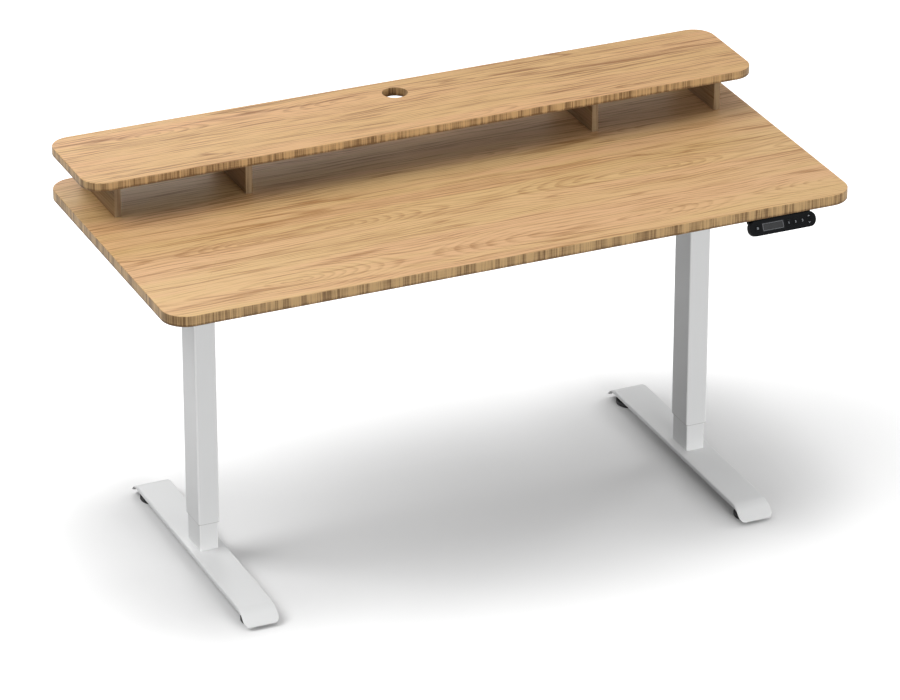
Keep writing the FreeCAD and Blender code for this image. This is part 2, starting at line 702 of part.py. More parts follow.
def make_foot(name, side, bolt_holes):
    """Folded steel foot with its ends bent down in two steps and a nut welded under each end."""
    label = f"foot_{name}"
    column_x = f"{side} * {COLUMN_X}"
    body = new_body(label)
    outline = new_sketch(body, f"{label}_outline", "YZ_Plane")
    top_side = [
        (f"-{FOOT_TIP}", "foot_tip_top"),
        (f"-{FOOT_KNEE}", "foot_knee_top"),
        (f"-{FOOT_BEND}", "foot_top"),
        (FOOT_BEND, "foot_top"),
        (FOOT_KNEE, "foot_knee_top"),
        (FOOT_TIP, "foot_tip_top"),
    ]
    flange_side = [
        (FOOT_TIP, "foot_tip_top - foot_tip_edge"),
        (FOOT_KNEE, "foot_knee_top - foot_tip_edge"),
        (f"-{FOOT_KNEE}", "foot_knee_top - foot_tip_edge"),
        (f"-{FOOT_TIP}", "foot_tip_top - foot_tip_edge"),
    ]
    draw_outline(outline, top_side + flange_side)
    bar = body.newObject("PartDesign::Pad", f"{label}_bar")
    bar.Profile = outline
    bar.Midplane = True
    bind(bar, Length="foot_width")

    doc.recompute()
    bend_points = []
    for across, level in ((FOOT_BEND, "foot_top"), (FOOT_KNEE, "foot_knee_top")):
        bend_points += [(end * number_of(across), number_of(level)) for end in ENDS.values()]
    bends = []
    for index, edge in enumerate(bar.Shape.Edges, start=1):
        middle = edge.CenterOfMass
        if any(math.isclose(middle.y, y) and math.isclose(middle.z, z) for y, z in bend_points):
            bends.append(f"Edge{index}")
    bend_rounding = body.newObject("PartDesign::Fillet", f"{label}_bends")
    bend_rounding.Base = (bar, bends)
    bind(bend_rounding, Radius="foot_bend_round")

    inside = new_sketch(body, f"{label}_inside", "YZ_Plane")
    sheet_side = [(across, f"{level} - foot_sheet") for across, level in top_side]
    draw_outline(inside, sheet_side + [(FOOT_TIP, "0"), (f"-{FOOT_TIP}", "0")])
    fold = body.newObject("PartDesign::Pocket", f"{label}_fold")
    fold.Profile = inside
    fold.Midplane = True
    bind(fold, Length="foot_width - 2 * foot_sheet")
    place(body, column_x)

    plan = rounded_plate(f"{label}_plan", ("foot_width", "foot_length", "foot_nose_round"), "0", "foot_top")
    rounded = doc.addObject("Part::Common", f"{label}_rounded")
    rounded.Base = body
    rounded.Tool = place(plan, column_x)

    nuts = []
    threads = []
    for end_name, end in ENDS.items():
        spot = (column_x, f"{end} * {GLIDE_Y}", f"{FOOT_UNDERSIDE} - glide_nut_height")
        nuts.append(rod(f"{label}_{end_name}_nut", "glide_nut_radius", "glide_nut_height", spot))
        thread_radius = "stud_radius + running_clearance"
        threads.append(rod(f"{label}_{end_name}_thread", thread_radius, "glide_nut_height", spot))
    welded = fuse(label, rounded, *nuts)
    keep(label, cut(label, welded, group(f"{label}_threads", threads), bolt_holes))


def make_glide(name, side, end_name, end):
    """Round plastic glide that swivels on a threaded stud."""
    label = f"glide_pad_{name}_{end_name}"
    spot = (f"{side} * {COLUMN_X}", f"{end} * {GLIDE_Y}")
    disc = rod(f"{label}_disc", "glide_radius", "glide_height - glide_bevel", (*spot, "0"))
    bevel = bind(
        doc.addObject("Part::Cone", f"{label}_bevel"),
        Radius1="glide_radius",
        Radius2="glide_radius - glide_bevel",
        Height="glide_bevel",
    )
    place(bevel, *spot, "glide_height - glide_bevel")
    socket_radius = "stud_radius + running_clearance"
    socket = rod(f"{label}_socket", socket_radius, "glide_height - stud_start", (*spot, "stud_start"))
    keep(label, cut(label, fuse(label, disc, bevel), socket))
    stud_label = f"glide_stud_{name}_{end_name}"
    stud = rod(f"{stud_label}_bar", "stud_radius", f"{STUD_TOP} - stud_start", (*spot, "stud_start"))
    keep(stud_label, stud)


def make_control_box(screw_holes):
    """Plastic box between the rails: a base plate on the desk top's underside, a cover and a board in it."""
    base_size = ("(box_length + 2 * box_ear)", BOX_WIDTH, "box_base_thickness")
    base = block("control_box_plate", base_size, ("0", "0"), BOX_TOP)
    keep("control_box_base", cut("control_box_base", base, screw_holes))

    outside = ("box_length", BOX_WIDTH, "box_corner")
    cover = rounded_plate("control_box_cover", outside, BOX_BOTTOM, "box_height")
    inside = ("box_length - 2 * box_wall", f"{BOX_WIDTH} - 2 * box_wall", "box_corner - box_wall")
    sink_plate(cover, "control_box_cover", inside, BOX_TOP, "box_height - box_wall")
    post_x = "(box_length / 2 - box_post_inset_x)"
    post_y = f"({BOX_WIDTH} / 2 - box_post_inset_y)"
    posts = []
    for across, side in SIDES.items():
        for along, end in ENDS.items():
            start = (f"{side} * {post_x}", f"{end} * {post_y}", f"{BOX_BOTTOM} + box_wall")
            posts.append(rod(f"box_post_{across}_{along}", "box_post_radius", "box_post_height", start))
    wall_middle = "box_length / 2 - box_wall / 2"
    inlet_size = ("2 * box_wall", "mains_inlet_width", "mains_inlet_height")
    openings = [block("mains_inlet", inlet_size, (wall_middle, "mains_inlet_y"), f"{BOX_BOTTOM} + box_wall")]
    socket_size = ("2 * box_wall", "motor_socket_width", "motor_socket_height")
    for index in range(3):
        middle = (wall_middle, f"-motor_socket_pitch * {index} - motor_socket_width / 2")
        level = f"{BOX_BOARD_BOTTOM} + board_thickness"
        openings.append(block(f"motor_socket_{index}", socket_size, middle, level))
    shell = fuse("control_box_cover", cover, *posts)
    keep("control_box_cover", cut("control_box_cover", shell, group("box_openings", openings)))

    board_size = (
        "(box_length - 2 * box_wall - 2 * box_board_margin)",
        f"({BOX_WIDTH} - 2 * box_wall - 2 * box_board_margin)",
        "board_thickness",
    )
    keep("control_board", block("control_board_plate", board_size, ("0", "0"), BOX_BOARD_BOTTOM))


def hang(item):
    """Move a piece drawn flat, with its face up, to the handset's tilted place."""
    item.Placement.Rotation = FreeCAD.Rotation(DIRECTIONS["+X"], 90)
    item.setExpression("Placement.Rotation.Angle", f"90 deg - {sized(TILT)}")
    return place(item, HANDSET_X, FACE_Y, FACE_Z)


def make_handset_case():
    """Moulded pill-shaped case with a window and six button openings, open at its back."""
    outline = (HANDSET_WIDTH, HANDSET_HEIGHT, HANDSET_CORNER)
    case = rounded_plate("handset_case", outline, "-handset_depth", "handset_depth")
    round_flat_faces(case, "handset_case", "handset_edge_round", (1,))
    inside = (
        f"{HANDSET_WIDTH} - 2 * handset_wall",
        f"{HANDSET_HEIGHT} - 2 * handset_wall",
        f"{HANDSET_CORNER} - handset_wall",
    )
    sink_plate(case, "handset_case", inside, "-handset_wall", "handset_depth - handset_wall")
    window_size = ("(lens_width + 2 * lens_clearance)", "(lens_height + 2 * lens_clearance)", "handset_wall")
    openings = [block("handset_window", window_size, (LENS_X, "0"), "-handset_wall")]
    for name, (x, y, length) in BUTTONS.items():
        gap = (
            "button_width + 2 * button_clearance",
            f"{length} + 2 * button_clearance",
            "button_corner + button_clearance",
        )
        opening = rounded_plate(f"button_opening_{name}", gap, "-handset_wall", "handset_wall")
        openings.append(place(opening, x, y))
    keep("handset_case", hang(cut("handset_case", case, group("handset_openings", openings))))

    lens_size = ("lens_width", "lens_height", "lens_thickness")
    lens = block("handset_lens_plate", lens_size, (LENS_X, "0"), "-lens_thickness")
    keep("handset_lens", hang(group("handset_lens", [lens])))


def make_button(name, x, y, length):
    """Button with a retaining flange behind the case's front wall."""
    label = f"button_{name}"
    flange_outline = (
        "button_width + 2 * button_flange",
        f"{length} + 2 * button_flange",
        "button_corner + button_flange",
    )
    flange_level = f"{FLANGE_TOP} - button_flange"
    flange = rounded_plate(f"{label}_flange", flange_outline, flange_level, "button_flange")
    cap_outline = ("button_width", length, "button_corner")
    cap = rounded_plate(f"{label}_cap", cap_outline, FLANGE_TOP, f"button_proud - {FLANGE_TOP}")
    keep(label, hang(fuse(label, place(flange, x, y), place(cap, x, y))))


def make_handset_board():
    """Circuit board with one switch behind each button and the display block behind the lens."""
    outline = (
        f"{HANDSET_WIDTH} - 2 * handset_wall - 2 * handset_board_gap",
        f"{HANDSET_HEIGHT} - 2 * handset_wall - 2 * handset_board_gap",
        f"{HANDSET_CORNER} - handset_wall - handset_board_gap",
    )
    level = "-handset_board_level - board_thickness"
    board = rounded_plate("handset_board", outline, level, "board_thickness")
    switch_top = f"({FLANGE_TOP} - button_flange - button_travel - switch_gap)"
    switch_size = ("switch_size", "switch_size", f"handset_board_level + {switch_top}")
    blocks = [
        block(f"switch_{name}", switch_size, (x, y), "-handset_board_level")
        for name, (x, y, _) in BUTTONS.items()
    ]
    display_size = (
        "(lens_width - 2 * display_margin)",
        "(lens_height - 2 * display_margin)",
        "handset_board_level - lens_thickness - display_gap",
    )
    blocks.append(block("display_block", display_size, (LENS_X, "0"), "-handset_board_level"))
    keep("handset_board", hang(fuse("handset_board", board, *blocks)))


def make_handset_cover(screw_holes):
    """Rear cover with two posts that hold the board and two tabs that hang it under the desk top."""
    outline = (HANDSET_WIDTH, HANDSET_HEIGHT, HANDSET_CORNER)
    plate = rounded_plate("handset_cover", outline, "-handset_depth - cover_thickness", "cover_thickness")
    post_length = "handset_depth - handset_board_level - board_thickness"
    posts = []
    for name, side in SIDES.items():
        start = (f"{side} * cover_post_x", "0", "-handset_depth")
        posts.append(rod(f"cover_post_{name}", "cover_post_radius", post_length, start))
    pieces = [hang(fuse("handset_cover_shell", plate, *posts))]
    web_bottom = f"({CASE_BACK_Z} - tab_web_drop)"
    for index, x in enumerate(tab_middles()):
        web_size = ("tab_width", "tab_web", f"({UNDERSIDE} - {web_bottom})")
        pieces.append(block(f"tab_web_{index}", web_size, (x, f"{TAB_FRONT} + tab_web / 2"), web_bottom))
        tab_size = ("tab_width", "tab_length", "tab_thickness")
        tab_middle = (x, f"{TAB_FRONT} + tab_length / 2")
        pieces.append(block(f"tab_plate_{index}", tab_size, tab_middle, f"{UNDERSIDE} - tab_thickness"))
    keep("handset_cover", cut("handset_cover", fuse("handset_cover", *pieces), screw_holes))


shelf_holes = fastener_holes("shelf_screw", "shelf_screw", shelf_screw_places())
bracket_screw_holes = fastener_holes("bracket_screw", "wood_screw", bracket_screw_places())
box_holes = fastener_holes("box_screw", "wood_screw", box_screw_places())
tab_holes = fastener_holes("tab_screw", "wood_screw", tab_screw_places())
rail_holes_by_end = {
    end_name: fastener_holes(f"rail_bolt_{end_name}", "frame_bolt", rail_bolt_places(end_sign))
    for end_name, end_sign in ENDS.items()
}
make_desk_top((shelf_holes, bracket_screw_holes, box_holes, tab_holes))
make_shelf(shelf_holes)
make_rails(rail_holes_by_end)
frame_bolt_places = rail_bolt_places(ENDS["front"]) + rail_bolt_places(ENDS["back"])
for side_name, side_sign in SIDES.items():
    bracket_bolts = bracket_bolt_places(side_sign)
    bracket_holes = fastener_holes(f"bracket_bolt_{side_name}", "frame_bolt", bracket_bolts)
    gearbox_bolts = gearbox_bolt_places(side_sign)
    gearbox_holes = fastener_holes(f"gearbox_bolt_{side_name}", "frame_bolt", gearbox_bolts)
    frame_bolt_places += bracket_bolts + gearbox_bolts
    make_head(side_name, side_sign, rail_holes_by_end, bracket_holes, gearbox_holes)
    make_bracket(side_name, side_sign, bracket_holes, bracket_screw_holes)
    make_drive(side_name, side_sign, gearbox_holes)
    make_outer_tube(side_name, side_sign)
    foot_bolts = foot_bolt_places(side_sign)
    foot_holes = fastener_holes(f"foot_bolt_{side_name}", "frame_bolt", foot_bolts)
    make_inner_tube(side_name, side_sign, foot_holes)
    make_foot(side_name, side_sign, foot_holes)
    keep(f"foot_bolts_{side_name}", fasteners(f"foot_bolt_{side_name}", "frame_bolt", foot_bolts))
    for foot_end, end_sign in ENDS.items():
        make_glide(side_name, side_sign, foot_end, end_sign)
keep("frame_bolts", fasteners("frame_bolt", "frame_bolt", frame_bolt_places))
wood_screw_places = bracket_screw_places() + box_screw_places() + tab_screw_places()
keep("wood_screws", fasteners("wood_screw", "wood_screw", wood_screw_places))
make_control_box(box_holes)
make_handset_case()
make_handset_board()
make_handset_cover(tab_holes)
for button_name, button_place in BUTTONS.items():
    make_button(button_name, *button_place)

doc.recompute()
for item in doc.Objects:
    if "Invalid" in item.State or "Error" in item.State:
        raise RuntimeError(f"{item.Name} failed: {item.State}")
for name, item in parts.items():
    if item.Shape.isNull() or not item.Shape.isValid():
        raise RuntimeError(f"{name} has no valid shape")
os.makedirs("parts", exist_ok=True)
for name, item in parts.items():
    item.Shape.exportStep(f"parts/{name}.step")
    print(name, len(item.Shape.Solids), round(item.Shape.Volume))
print(len(parts), "sub-parts")
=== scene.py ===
import math
import bmesh
import bpy
from mathutils import Matrix, Vector


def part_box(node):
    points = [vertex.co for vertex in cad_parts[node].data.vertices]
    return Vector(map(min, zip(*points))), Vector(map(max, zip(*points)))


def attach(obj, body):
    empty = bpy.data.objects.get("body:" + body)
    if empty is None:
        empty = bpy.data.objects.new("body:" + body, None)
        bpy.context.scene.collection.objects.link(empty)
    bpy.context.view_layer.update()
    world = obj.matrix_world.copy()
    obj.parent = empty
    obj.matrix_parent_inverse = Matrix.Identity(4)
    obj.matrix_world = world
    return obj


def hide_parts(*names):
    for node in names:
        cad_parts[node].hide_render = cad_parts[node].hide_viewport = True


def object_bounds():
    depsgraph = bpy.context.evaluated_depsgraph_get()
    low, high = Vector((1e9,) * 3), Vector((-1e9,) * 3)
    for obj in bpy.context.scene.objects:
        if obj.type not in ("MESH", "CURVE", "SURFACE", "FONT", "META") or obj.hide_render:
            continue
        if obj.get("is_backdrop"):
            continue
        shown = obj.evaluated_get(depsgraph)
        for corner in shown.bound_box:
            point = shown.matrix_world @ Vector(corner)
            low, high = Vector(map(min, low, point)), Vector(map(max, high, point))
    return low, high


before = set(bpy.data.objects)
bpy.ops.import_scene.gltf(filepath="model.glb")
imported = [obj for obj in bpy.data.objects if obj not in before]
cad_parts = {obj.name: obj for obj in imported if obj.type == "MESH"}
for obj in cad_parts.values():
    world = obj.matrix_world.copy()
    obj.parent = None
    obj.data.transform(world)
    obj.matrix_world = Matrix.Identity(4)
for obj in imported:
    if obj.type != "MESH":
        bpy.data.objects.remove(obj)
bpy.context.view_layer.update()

# Camera
# A long lens looks down on the left front corner of the desk, as the photograph does.
# Its place and angles were worked out from the photograph's straight edges.
camera_place = (-4.049, -9.165, 5.314)
look_down = math.radians(26.16)
look_right = math.radians(23.83)
lens_length = 201.3
view_reach = 100
camera = bpy.data.objects.new("camera", bpy.data.cameras.new("camera"))
camera.data.lens = lens_length
camera.data.clip_end = view_reach
camera.location = camera_place
camera.rotation_euler = (math.pi / 2 - look_down, 0, -look_right)
bpy.context.scene.collection.objects.link(camera)
bpy.context.scene.camera = camera
bpy.context.scene.view_settings.view_transform = "Standard"


# Studio
# A white floor under a pale sky, with large softboxes to the left and in front and weaker ones elsewhere.
# The floor glows white away from the desk, a painted pool of light seen only by the camera, and stays grey
# under the desk and beside its feet, where painted shade and a painted contact shadow hold the glow back.
# It is seen only from above, so that the underside of the desk can be looked at too.
def feed(tree, socket, value):
    """Link a socket to another node's output, or set it to a plain value."""
    if isinstance(value, bpy.types.NodeSocket):
        tree.links.new(value, socket)
    else:
        socket.default_value = value


def add_node(tree, kind, settings=None, **inputs):
    """Add a shader node; inputs are named as on the node, with _ for a space."""
    node = tree.nodes.new("ShaderNode" + kind)
    for name, value in (settings or {}).items():
        setattr(node, name, value)
    for name, value in inputs.items():
        feed(tree, node.inputs[name.replace("_", " ")], value)
    return node


def maths(tree, operation, *values, kind="Math"):
    """Work out one number from others."""
    node = add_node(tree, kind, {"operation": operation})
    for socket, value in zip(node.inputs, values):
        feed(tree, socket, value)
    return node.outputs[0]


def vector_maths(tree, operation, *values):
    """Work out one vector from others."""
    return maths(tree, operation, *values, kind="VectorMath")


def vector_length(tree, vector):
    """Work out how long a vector is."""
    return add_node(tree, "VectorMath", {"operation": "LENGTH"}, Vector=vector).outputs["Value"]


def ease(tree, value, low, high):
    """Smooth step from 0 at low to 1 at high."""
    step = add_node(tree, "MapRange", {"interpolation_type": "SMOOTHSTEP"})
    feed(tree, step.inputs["Value"], value)
    feed(tree, step.inputs["From Min"], low)
    feed(tree, step.inputs["From Max"], high)
    return step.outputs["Result"]


def mix(tree, factor, first, second):
    """Colour between two others: the first at 0 and the second at 1."""
    node = add_node(tree, "Mix", {"data_type": "RGBA"})
    feed(tree, node.inputs[0], factor)
    feed(tree, node.inputs[6], first)
    feed(tree, node.inputs[7], second)
    return node.outputs[2]


def seen_white(tree):
    """1 for rays from the camera, direct or by way of a shiny or clear surface, and 0 for other light."""
    rays = add_node(tree, "LightPath").outputs
    seen = maths(tree, "MAXIMUM", rays["Is Camera Ray"], rays["Is Glossy Ray"])
    return maths(tree, "MAXIMUM", seen, rays["Is Transmission Ray"])


def add_softbox(name, place, aim, width, depth, power):
    lamp = bpy.data.lights.new(name, "AREA")
    lamp.shape = "RECTANGLE"
    lamp.size = width
    lamp.size_y = depth
    lamp.energy = power
    softbox = bpy.data.objects.new(name, lamp)
    softbox.location = place
    softbox.rotation_euler = (Vector(aim) - Vector(place)).to_track_quat("-Z", "Y").to_euler()
    bpy.context.scene.collection.objects.link(softbox)


floor_half = 30.0
floor_mesh = bpy.data.meshes.new("studio_floor")
corners = [(x * floor_half, y * floor_half, 0) for x, y in ((-1, -1), (1, -1), (1, 1), (-1, 1))]
floor_mesh.from_pydata(corners, [], [(0, 1, 2, 3)])
floor = bpy.data.objects.new("studio_floor", floor_mesh)
bpy.context.scene.collection.objects.link(floor)
floor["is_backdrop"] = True

lighting_tone = (0.3, 0.3, 0.3, 1)
seen_tone = (0.95, 0.95, 0.95, 1)
oval_scale = (1.19, 2.42, 1)
least_glow = 0.02
near_glow = 0.4
near_start = 0.28
near_end = 2.0
far_glow = 0.13
far_end = 2.96
foot_middle = (0.5955, 0, 0)
foot_core = (0.06, 0.19, 0)
foot_shade_start = 0.01
foot_shade_end = 0.31
contact_reach = 0.045
contact_depth = 2.0
floor_paint = bpy.data.materials.new("studio_floor")
floor_paint.use_nodes = True
tree = floor_paint.node_tree
tree.nodes.remove(tree.nodes["Principled BSDF"])
seen = seen_white(tree)
matt = add_node(tree, "BsdfDiffuse", Color=mix(tree, seen, lighting_tone, seen_tone))
floor_place = add_node(tree, "NewGeometry").outputs["Position"]
far = vector_length(tree, vector_maths(tree, "MULTIPLY", floor_place, oval_scale))
# Painted light: the glow grows with the distance from the desk, like a pool of light round the shade under
# it.
open_glow = maths(tree, "MULTIPLY_ADD", ease(tree, far, near_start, near_end), near_glow, least_glow)
open_glow = maths(tree, "MULTIPLY_ADD", ease(tree, far, near_end, far_end), far_glow, open_glow)
# Painted shade: the glow fades beside the feet.
aside = vector_maths(tree, "SUBTRACT", vector_maths(tree, "ABSOLUTE", floor_place), foot_middle)
beyond = vector_maths(tree, "SUBTRACT", vector_maths(tree, "ABSOLUTE", aside), foot_core)
foot_gap = vector_length(tree, vector_maths(tree, "MAXIMUM", beyond, (0, 0, 0)))
foot_shade = ease(tree, foot_gap, foot_shade_start, foot_shade_end)
# Painted contact shadow: the glow fades where the floor is closed in by things standing on it.
open_floor = add_node(tree, "AmbientOcclusion", {"samples": 8}, Distance=contact_reach).outputs["AO"]
contact_shade = maths(tree, "POWER", open_floor, contact_depth)
shade = maths(tree, "MULTIPLY", foot_shade, contact_shade)
shaded_glow = maths(tree, "MULTIPLY", open_glow, shade)
glow = add_node(tree, "Emission", Color=(1, 1, 1, 1), Strength=maths(tree, "MULTIPLY", seen, shaded_glow))
lit = add_node(tree, "AddShader")
feed(tree, lit.inputs[0], matt.outputs[0])
feed(tree, lit.inputs[1], glow.outputs[0])
clear = add_node(tree, "BsdfTransparent")
one_sided = add_node(tree, "MixShader", Fac=add_node(tree, "NewGeometry").outputs["Backfacing"])
feed(tree, one_sided.inputs[1], lit.outputs[0])
feed(tree, one_sided.inputs[2], clear.outputs[0])
feed(tree, tree.nodes["Material Output"].inputs["Surface"], one_sided.outputs[0])
floor_mesh.materials.append(floor_paint)

horizon_level = 0.2
zenith_gain = 0.3
sky = bpy.data.worlds.new("studio_sky")
sky.use_nodes = True
tree = sky.node_tree
direction = add_node(tree, "TexCoord").outputs["Generated"]
upward = maths(tree, "MAXIMUM", add_node(tree, "SeparateXYZ", Vector=direction).outputs["Z"], 0.0)
sky_level = maths(tree, "MULTIPLY_ADD", upward, zenith_gain, horizon_level)
background = tree.nodes["Background"].inputs
feed(tree, background["Color"], (1, 1, 1, 1))
feed(tree, background["Strength"], maths(tree, "MAXIMUM", sky_level, seen_white(tree)))
bpy.context.scene.world = sky
add_softbox("left_softbox", (-3.3, 0.8, 3.8), aim=(0, 0, 0.5), width=2.4, depth=2.4, power=100)
add_softbox("front_softbox", (0.8, -6.0, 1.6), aim=(0, 0, 0.5), width=3.2, depth=1.6, power=185)
add_softbox("back_softbox", (0.1, 3.5, 2.6), aim=(0, 0, 0.8), width=1.6, depth=1.2, power=20)
add_softbox("right_softbox", (4.2, 0.9, 2.6), aim=(0.4, 0, 0.3), width=2.0, depth=1.6, power=26)
add_softbox("overhead_softbox", (0.2, -0.4, 4.2), aim=(0.2, 0, 0), width=2.2, depth=2.2, power=24)


# Desk top
# One board of laminated wood with a round outline, veneered lengthways in leaves of oak and lacquered satin.
# Its bare edges show short upright streaks with painted shade along their foot, and a grey-brown paper
# balances the veneer on its underside; the paper's dark tone is painted shade, so that little light bounces
# under the desk.
# The board is screwed to the brackets of the frame from below.
def new_group(name, inputs, outputs):
    """Shader group with named sockets; each is given as its name and kind."""
    group = bpy.data.node_groups.new(name, "ShaderNodeTree")
    for direction, sockets in (("INPUT", inputs), ("OUTPUT", outputs)):
        for label, kind in sockets.items():
            group.interface.new_socket(name=label, in_out=direction, socket_type="NodeSocket" + kind)
    given = group.nodes.new("NodeGroupInput").outputs
    made = group.nodes.new("NodeGroupOutput").inputs
    return group, given, made


def use_group(tree, group, **inputs):
    """Place a shader group in a material with its own values."""
    return add_node(tree, "Group", {"node_tree": group}, **inputs).outputs


def noise(tree, position, waves, detail=2.0):
    """Soft noise with its own number of waves per metre along each axis."""
    stretched = vector_maths(tree, "MULTIPLY", position, waves)
    return add_node(tree, "TexNoise", Vector=stretched, Scale=1.0, Detail=detail).outputs["Fac"]


def weigh(tree, start, *parts):
    """Add up values, each times its own weight."""
    total = start
    for value, weight in parts:
        total = maths(tree, "MULTIPLY_ADD", value, weight, total)
    return total


def new_material(name):
    """Material with its shader, and the place on the piece that its patterns follow."""
    material = bpy.data.materials.new(name)
    material.use_nodes = True
    tree = material.node_tree
    place = add_node(tree, "TexCoord").outputs["Object"]
    return material, tree, tree.nodes["Principled BSDF"], place


def add_bump(tree, shader, height, distance):
    """Fine relief on a surface."""
    bump = add_node(tree, "Bump", Height=height, Distance=distance, Strength=1.0)
    feed(tree, shader.inputs["Normal"], bump.outputs["Normal"])


def normal_along(tree, axis):
    """How far a surface turns towards one axis, from -1 to 1."""
    normal = add_node(tree, "NewGeometry").outputs["Normal"]
    return add_node(tree, "SeparateXYZ", Vector=normal).outputs[axis]


def mostly(tree, turn):
    """1 where a surface turns mostly one way, and 0 where it turns away."""
    turn_start = 0.55
    turn_full = 0.85
    return ease(tree, turn, turn_start, turn_full)


def make_oak_figure():
    """Oak veneer with its grain along X, in leaves side by side along Y that each have their own flame."""
    group, given, made = new_group(
        "oak_figure",
        {"Position": "Vector", "Yellow wood": "Color", "Pink wood": "Color", "Dark wood": "Color"},
        {"Color": "Color", "Roughness": "Float", "Height": "Float"},
    )
    leaf_width = 0.21
    leaf_apart = 7.3
    ring_step = 0.0075
    heart_reach = 0.28
    heart_side = 0.05
    heart_spread = 0.06
    slow_sway = 0.036
    quick_sway = 0.014
    wobble = 0.034
    ragged = 0.006
    position = given["Position"]

    # Leaves, each with its own number, chances and distance across from its middle
    axes = add_node(group, "SeparateXYZ", Vector=position).outputs
    row = maths(group, "DIVIDE", axes["Y"], leaf_width)
    leaf = maths(group, "FLOOR", row)
    chance = add_node(group, "TexWhiteNoise", {"noise_dimensions": "1D"}, W=leaf).outputs["Color"]
    luck = add_node(group, "SeparateColor", Color=chance).outputs
    across = weigh(group, -0.5 * leaf_width, (maths(group, "FRACT", row), leaf_width))

    # Streaks, veins, seams, fibres and pores, which follow the sway of the grain
    slow = noise(group, position, (1.6, 4, 4))
    quick = noise(group, position, (6, 18, 18))
    swayed = weigh(group, axes["Y"], (slow, slow_sway), (quick, quick_sway))
    bent = add_node(group, "CombineXYZ", X=axes["X"], Y=swayed, Z=axes["Z"]).outputs[0]
    streak = noise(group, bent, (1.3, 46, 46), 3.0)
    vein = noise(group, bent, (5, 170, 170), 3.0)
    winding = noise(group, bent, (0.9, 22, 22), 1.0)
    seam = maths(group, "ABSOLUTE", maths(group, "SUBTRACT", winding, 0.5))
    fibre = noise(group, bent, (14, 330, 330), 3.0)
    broad = noise(group, position, (0.7, 5, 5))
    hue = noise(group, bent, (1.2, 17, 17))
    pore = ease(group, noise(group, bent, (70, 1900, 1900)), 0.6, 0.72)

    # Year rings round a heart that wanders above and below the leaf, which makes its flame
    leaf_row = maths(group, "MULTIPLY", leaf, leaf_apart)
    leaf_spot = add_node(group, "CombineXYZ", X=axes["X"], Y=leaf_row).outputs[0]
    depth = weigh(group, -heart_reach / 2, (noise(group, leaf_spot, (1.3, 1, 1), 1.0), heart_reach))
    unrest = noise(group, position, (2.2, 14, 14))
    sideways = weigh(group, across, (unrest, wobble), (fibre, ragged), (luck["Green"], heart_spread))
    sideways = maths(group, "SUBTRACT", sideways, heart_side)
    squares = maths(group, "ADD", maths(group, "POWER", sideways, 2.0), maths(group, "POWER", depth, 2.0))
    ring = maths(group, "FRACT", maths(group, "DIVIDE", maths(group, "SQRT", squares), ring_step))
    rise = ease(group, ring, 0.3, 0.85)
    fall = maths(group, "SUBTRACT", 1.0, ease(group, ring, 0.85, 1.0))
    late = maths(group, "MULTIPLY", rise, fall)

    # Each pattern darkens the wood by its own weight
    figure = weigh(
        group,
        -0.83,
        (late, 0.4),
        (ease(group, streak, 0.35, 0.75), 0.3),
        (ease(group, vein, 0.5, 0.68), 0.6),
        (ease(group, seam, 0.018, 0.0), 0.6),
        (fibre, 0.9),
        (broad, 0.4),
        (pore, 0.14),
        (luck["Blue"], 0.06),
    )
    share = add_node(group, "Clamp", Value=figure).outputs[0]
    pale = mix(group, ease(group, hue, 0.35, 0.65), given["Yellow wood"], given["Pink wood"])
    feed(group, made["Color"], mix(group, share, pale, given["Dark wood"]))
    feed(group, made["Roughness"], weigh(group, 0.4, (fibre, 0.14)))
    feed(group, made["Height"], maths(group, "SUBTRACT", maths(group, "MULTIPLY", fibre, 0.6), pore))
    return group


def make_edge_streaks():
    """Sawn edge of a laminated board: short streaks across its thickness, darker towards its underside with
    painted shade.
    """
    group, given, made = new_group(
        "edge_streaks",
        {"Position": "Vector", "Underside": "Float", "Pale wood": "Color", "Dark wood": "Color"},
        {"Color": "Color"},
    )
    edge_shade_top = 0.008
    edge_shade_full = 0.001
    position = given["Position"]
    slim = noise(group, position, (300, 300, 8), 2.0)
    broad = noise(group, position, (70, 70, 6), 2.0)
    layers = noise(group, position, (4, 4, 620))
    level = add_node(group, "SeparateXYZ", Vector=position).outputs["Z"]
    height = maths(group, "SUBTRACT", level, given["Underside"])
    # Painted shade along the foot of the edge, under its rounded lower arris.
    painted_edge_shade = ease(group, height, edge_shade_top, edge_shade_full)
    figure = weigh(
        group,
        -0.62,
        (ease(group, slim, 0.34, 0.68), 0.66),
        (ease(group, broad, 0.34, 0.66), 0.74),
        (layers, 0.5),
        (painted_edge_shade, 0.75),
    )
    share = add_node(group, "Clamp", Value=figure).outputs[0]
    feed(group, made["Color"], mix(group, share, given["Pale wood"], given["Dark wood"]))
    return group


def dress(material, *names):
    """Give CAD nodes their finish."""
    for name in names:
        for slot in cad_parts[name].material_slots:
            slot.material = material


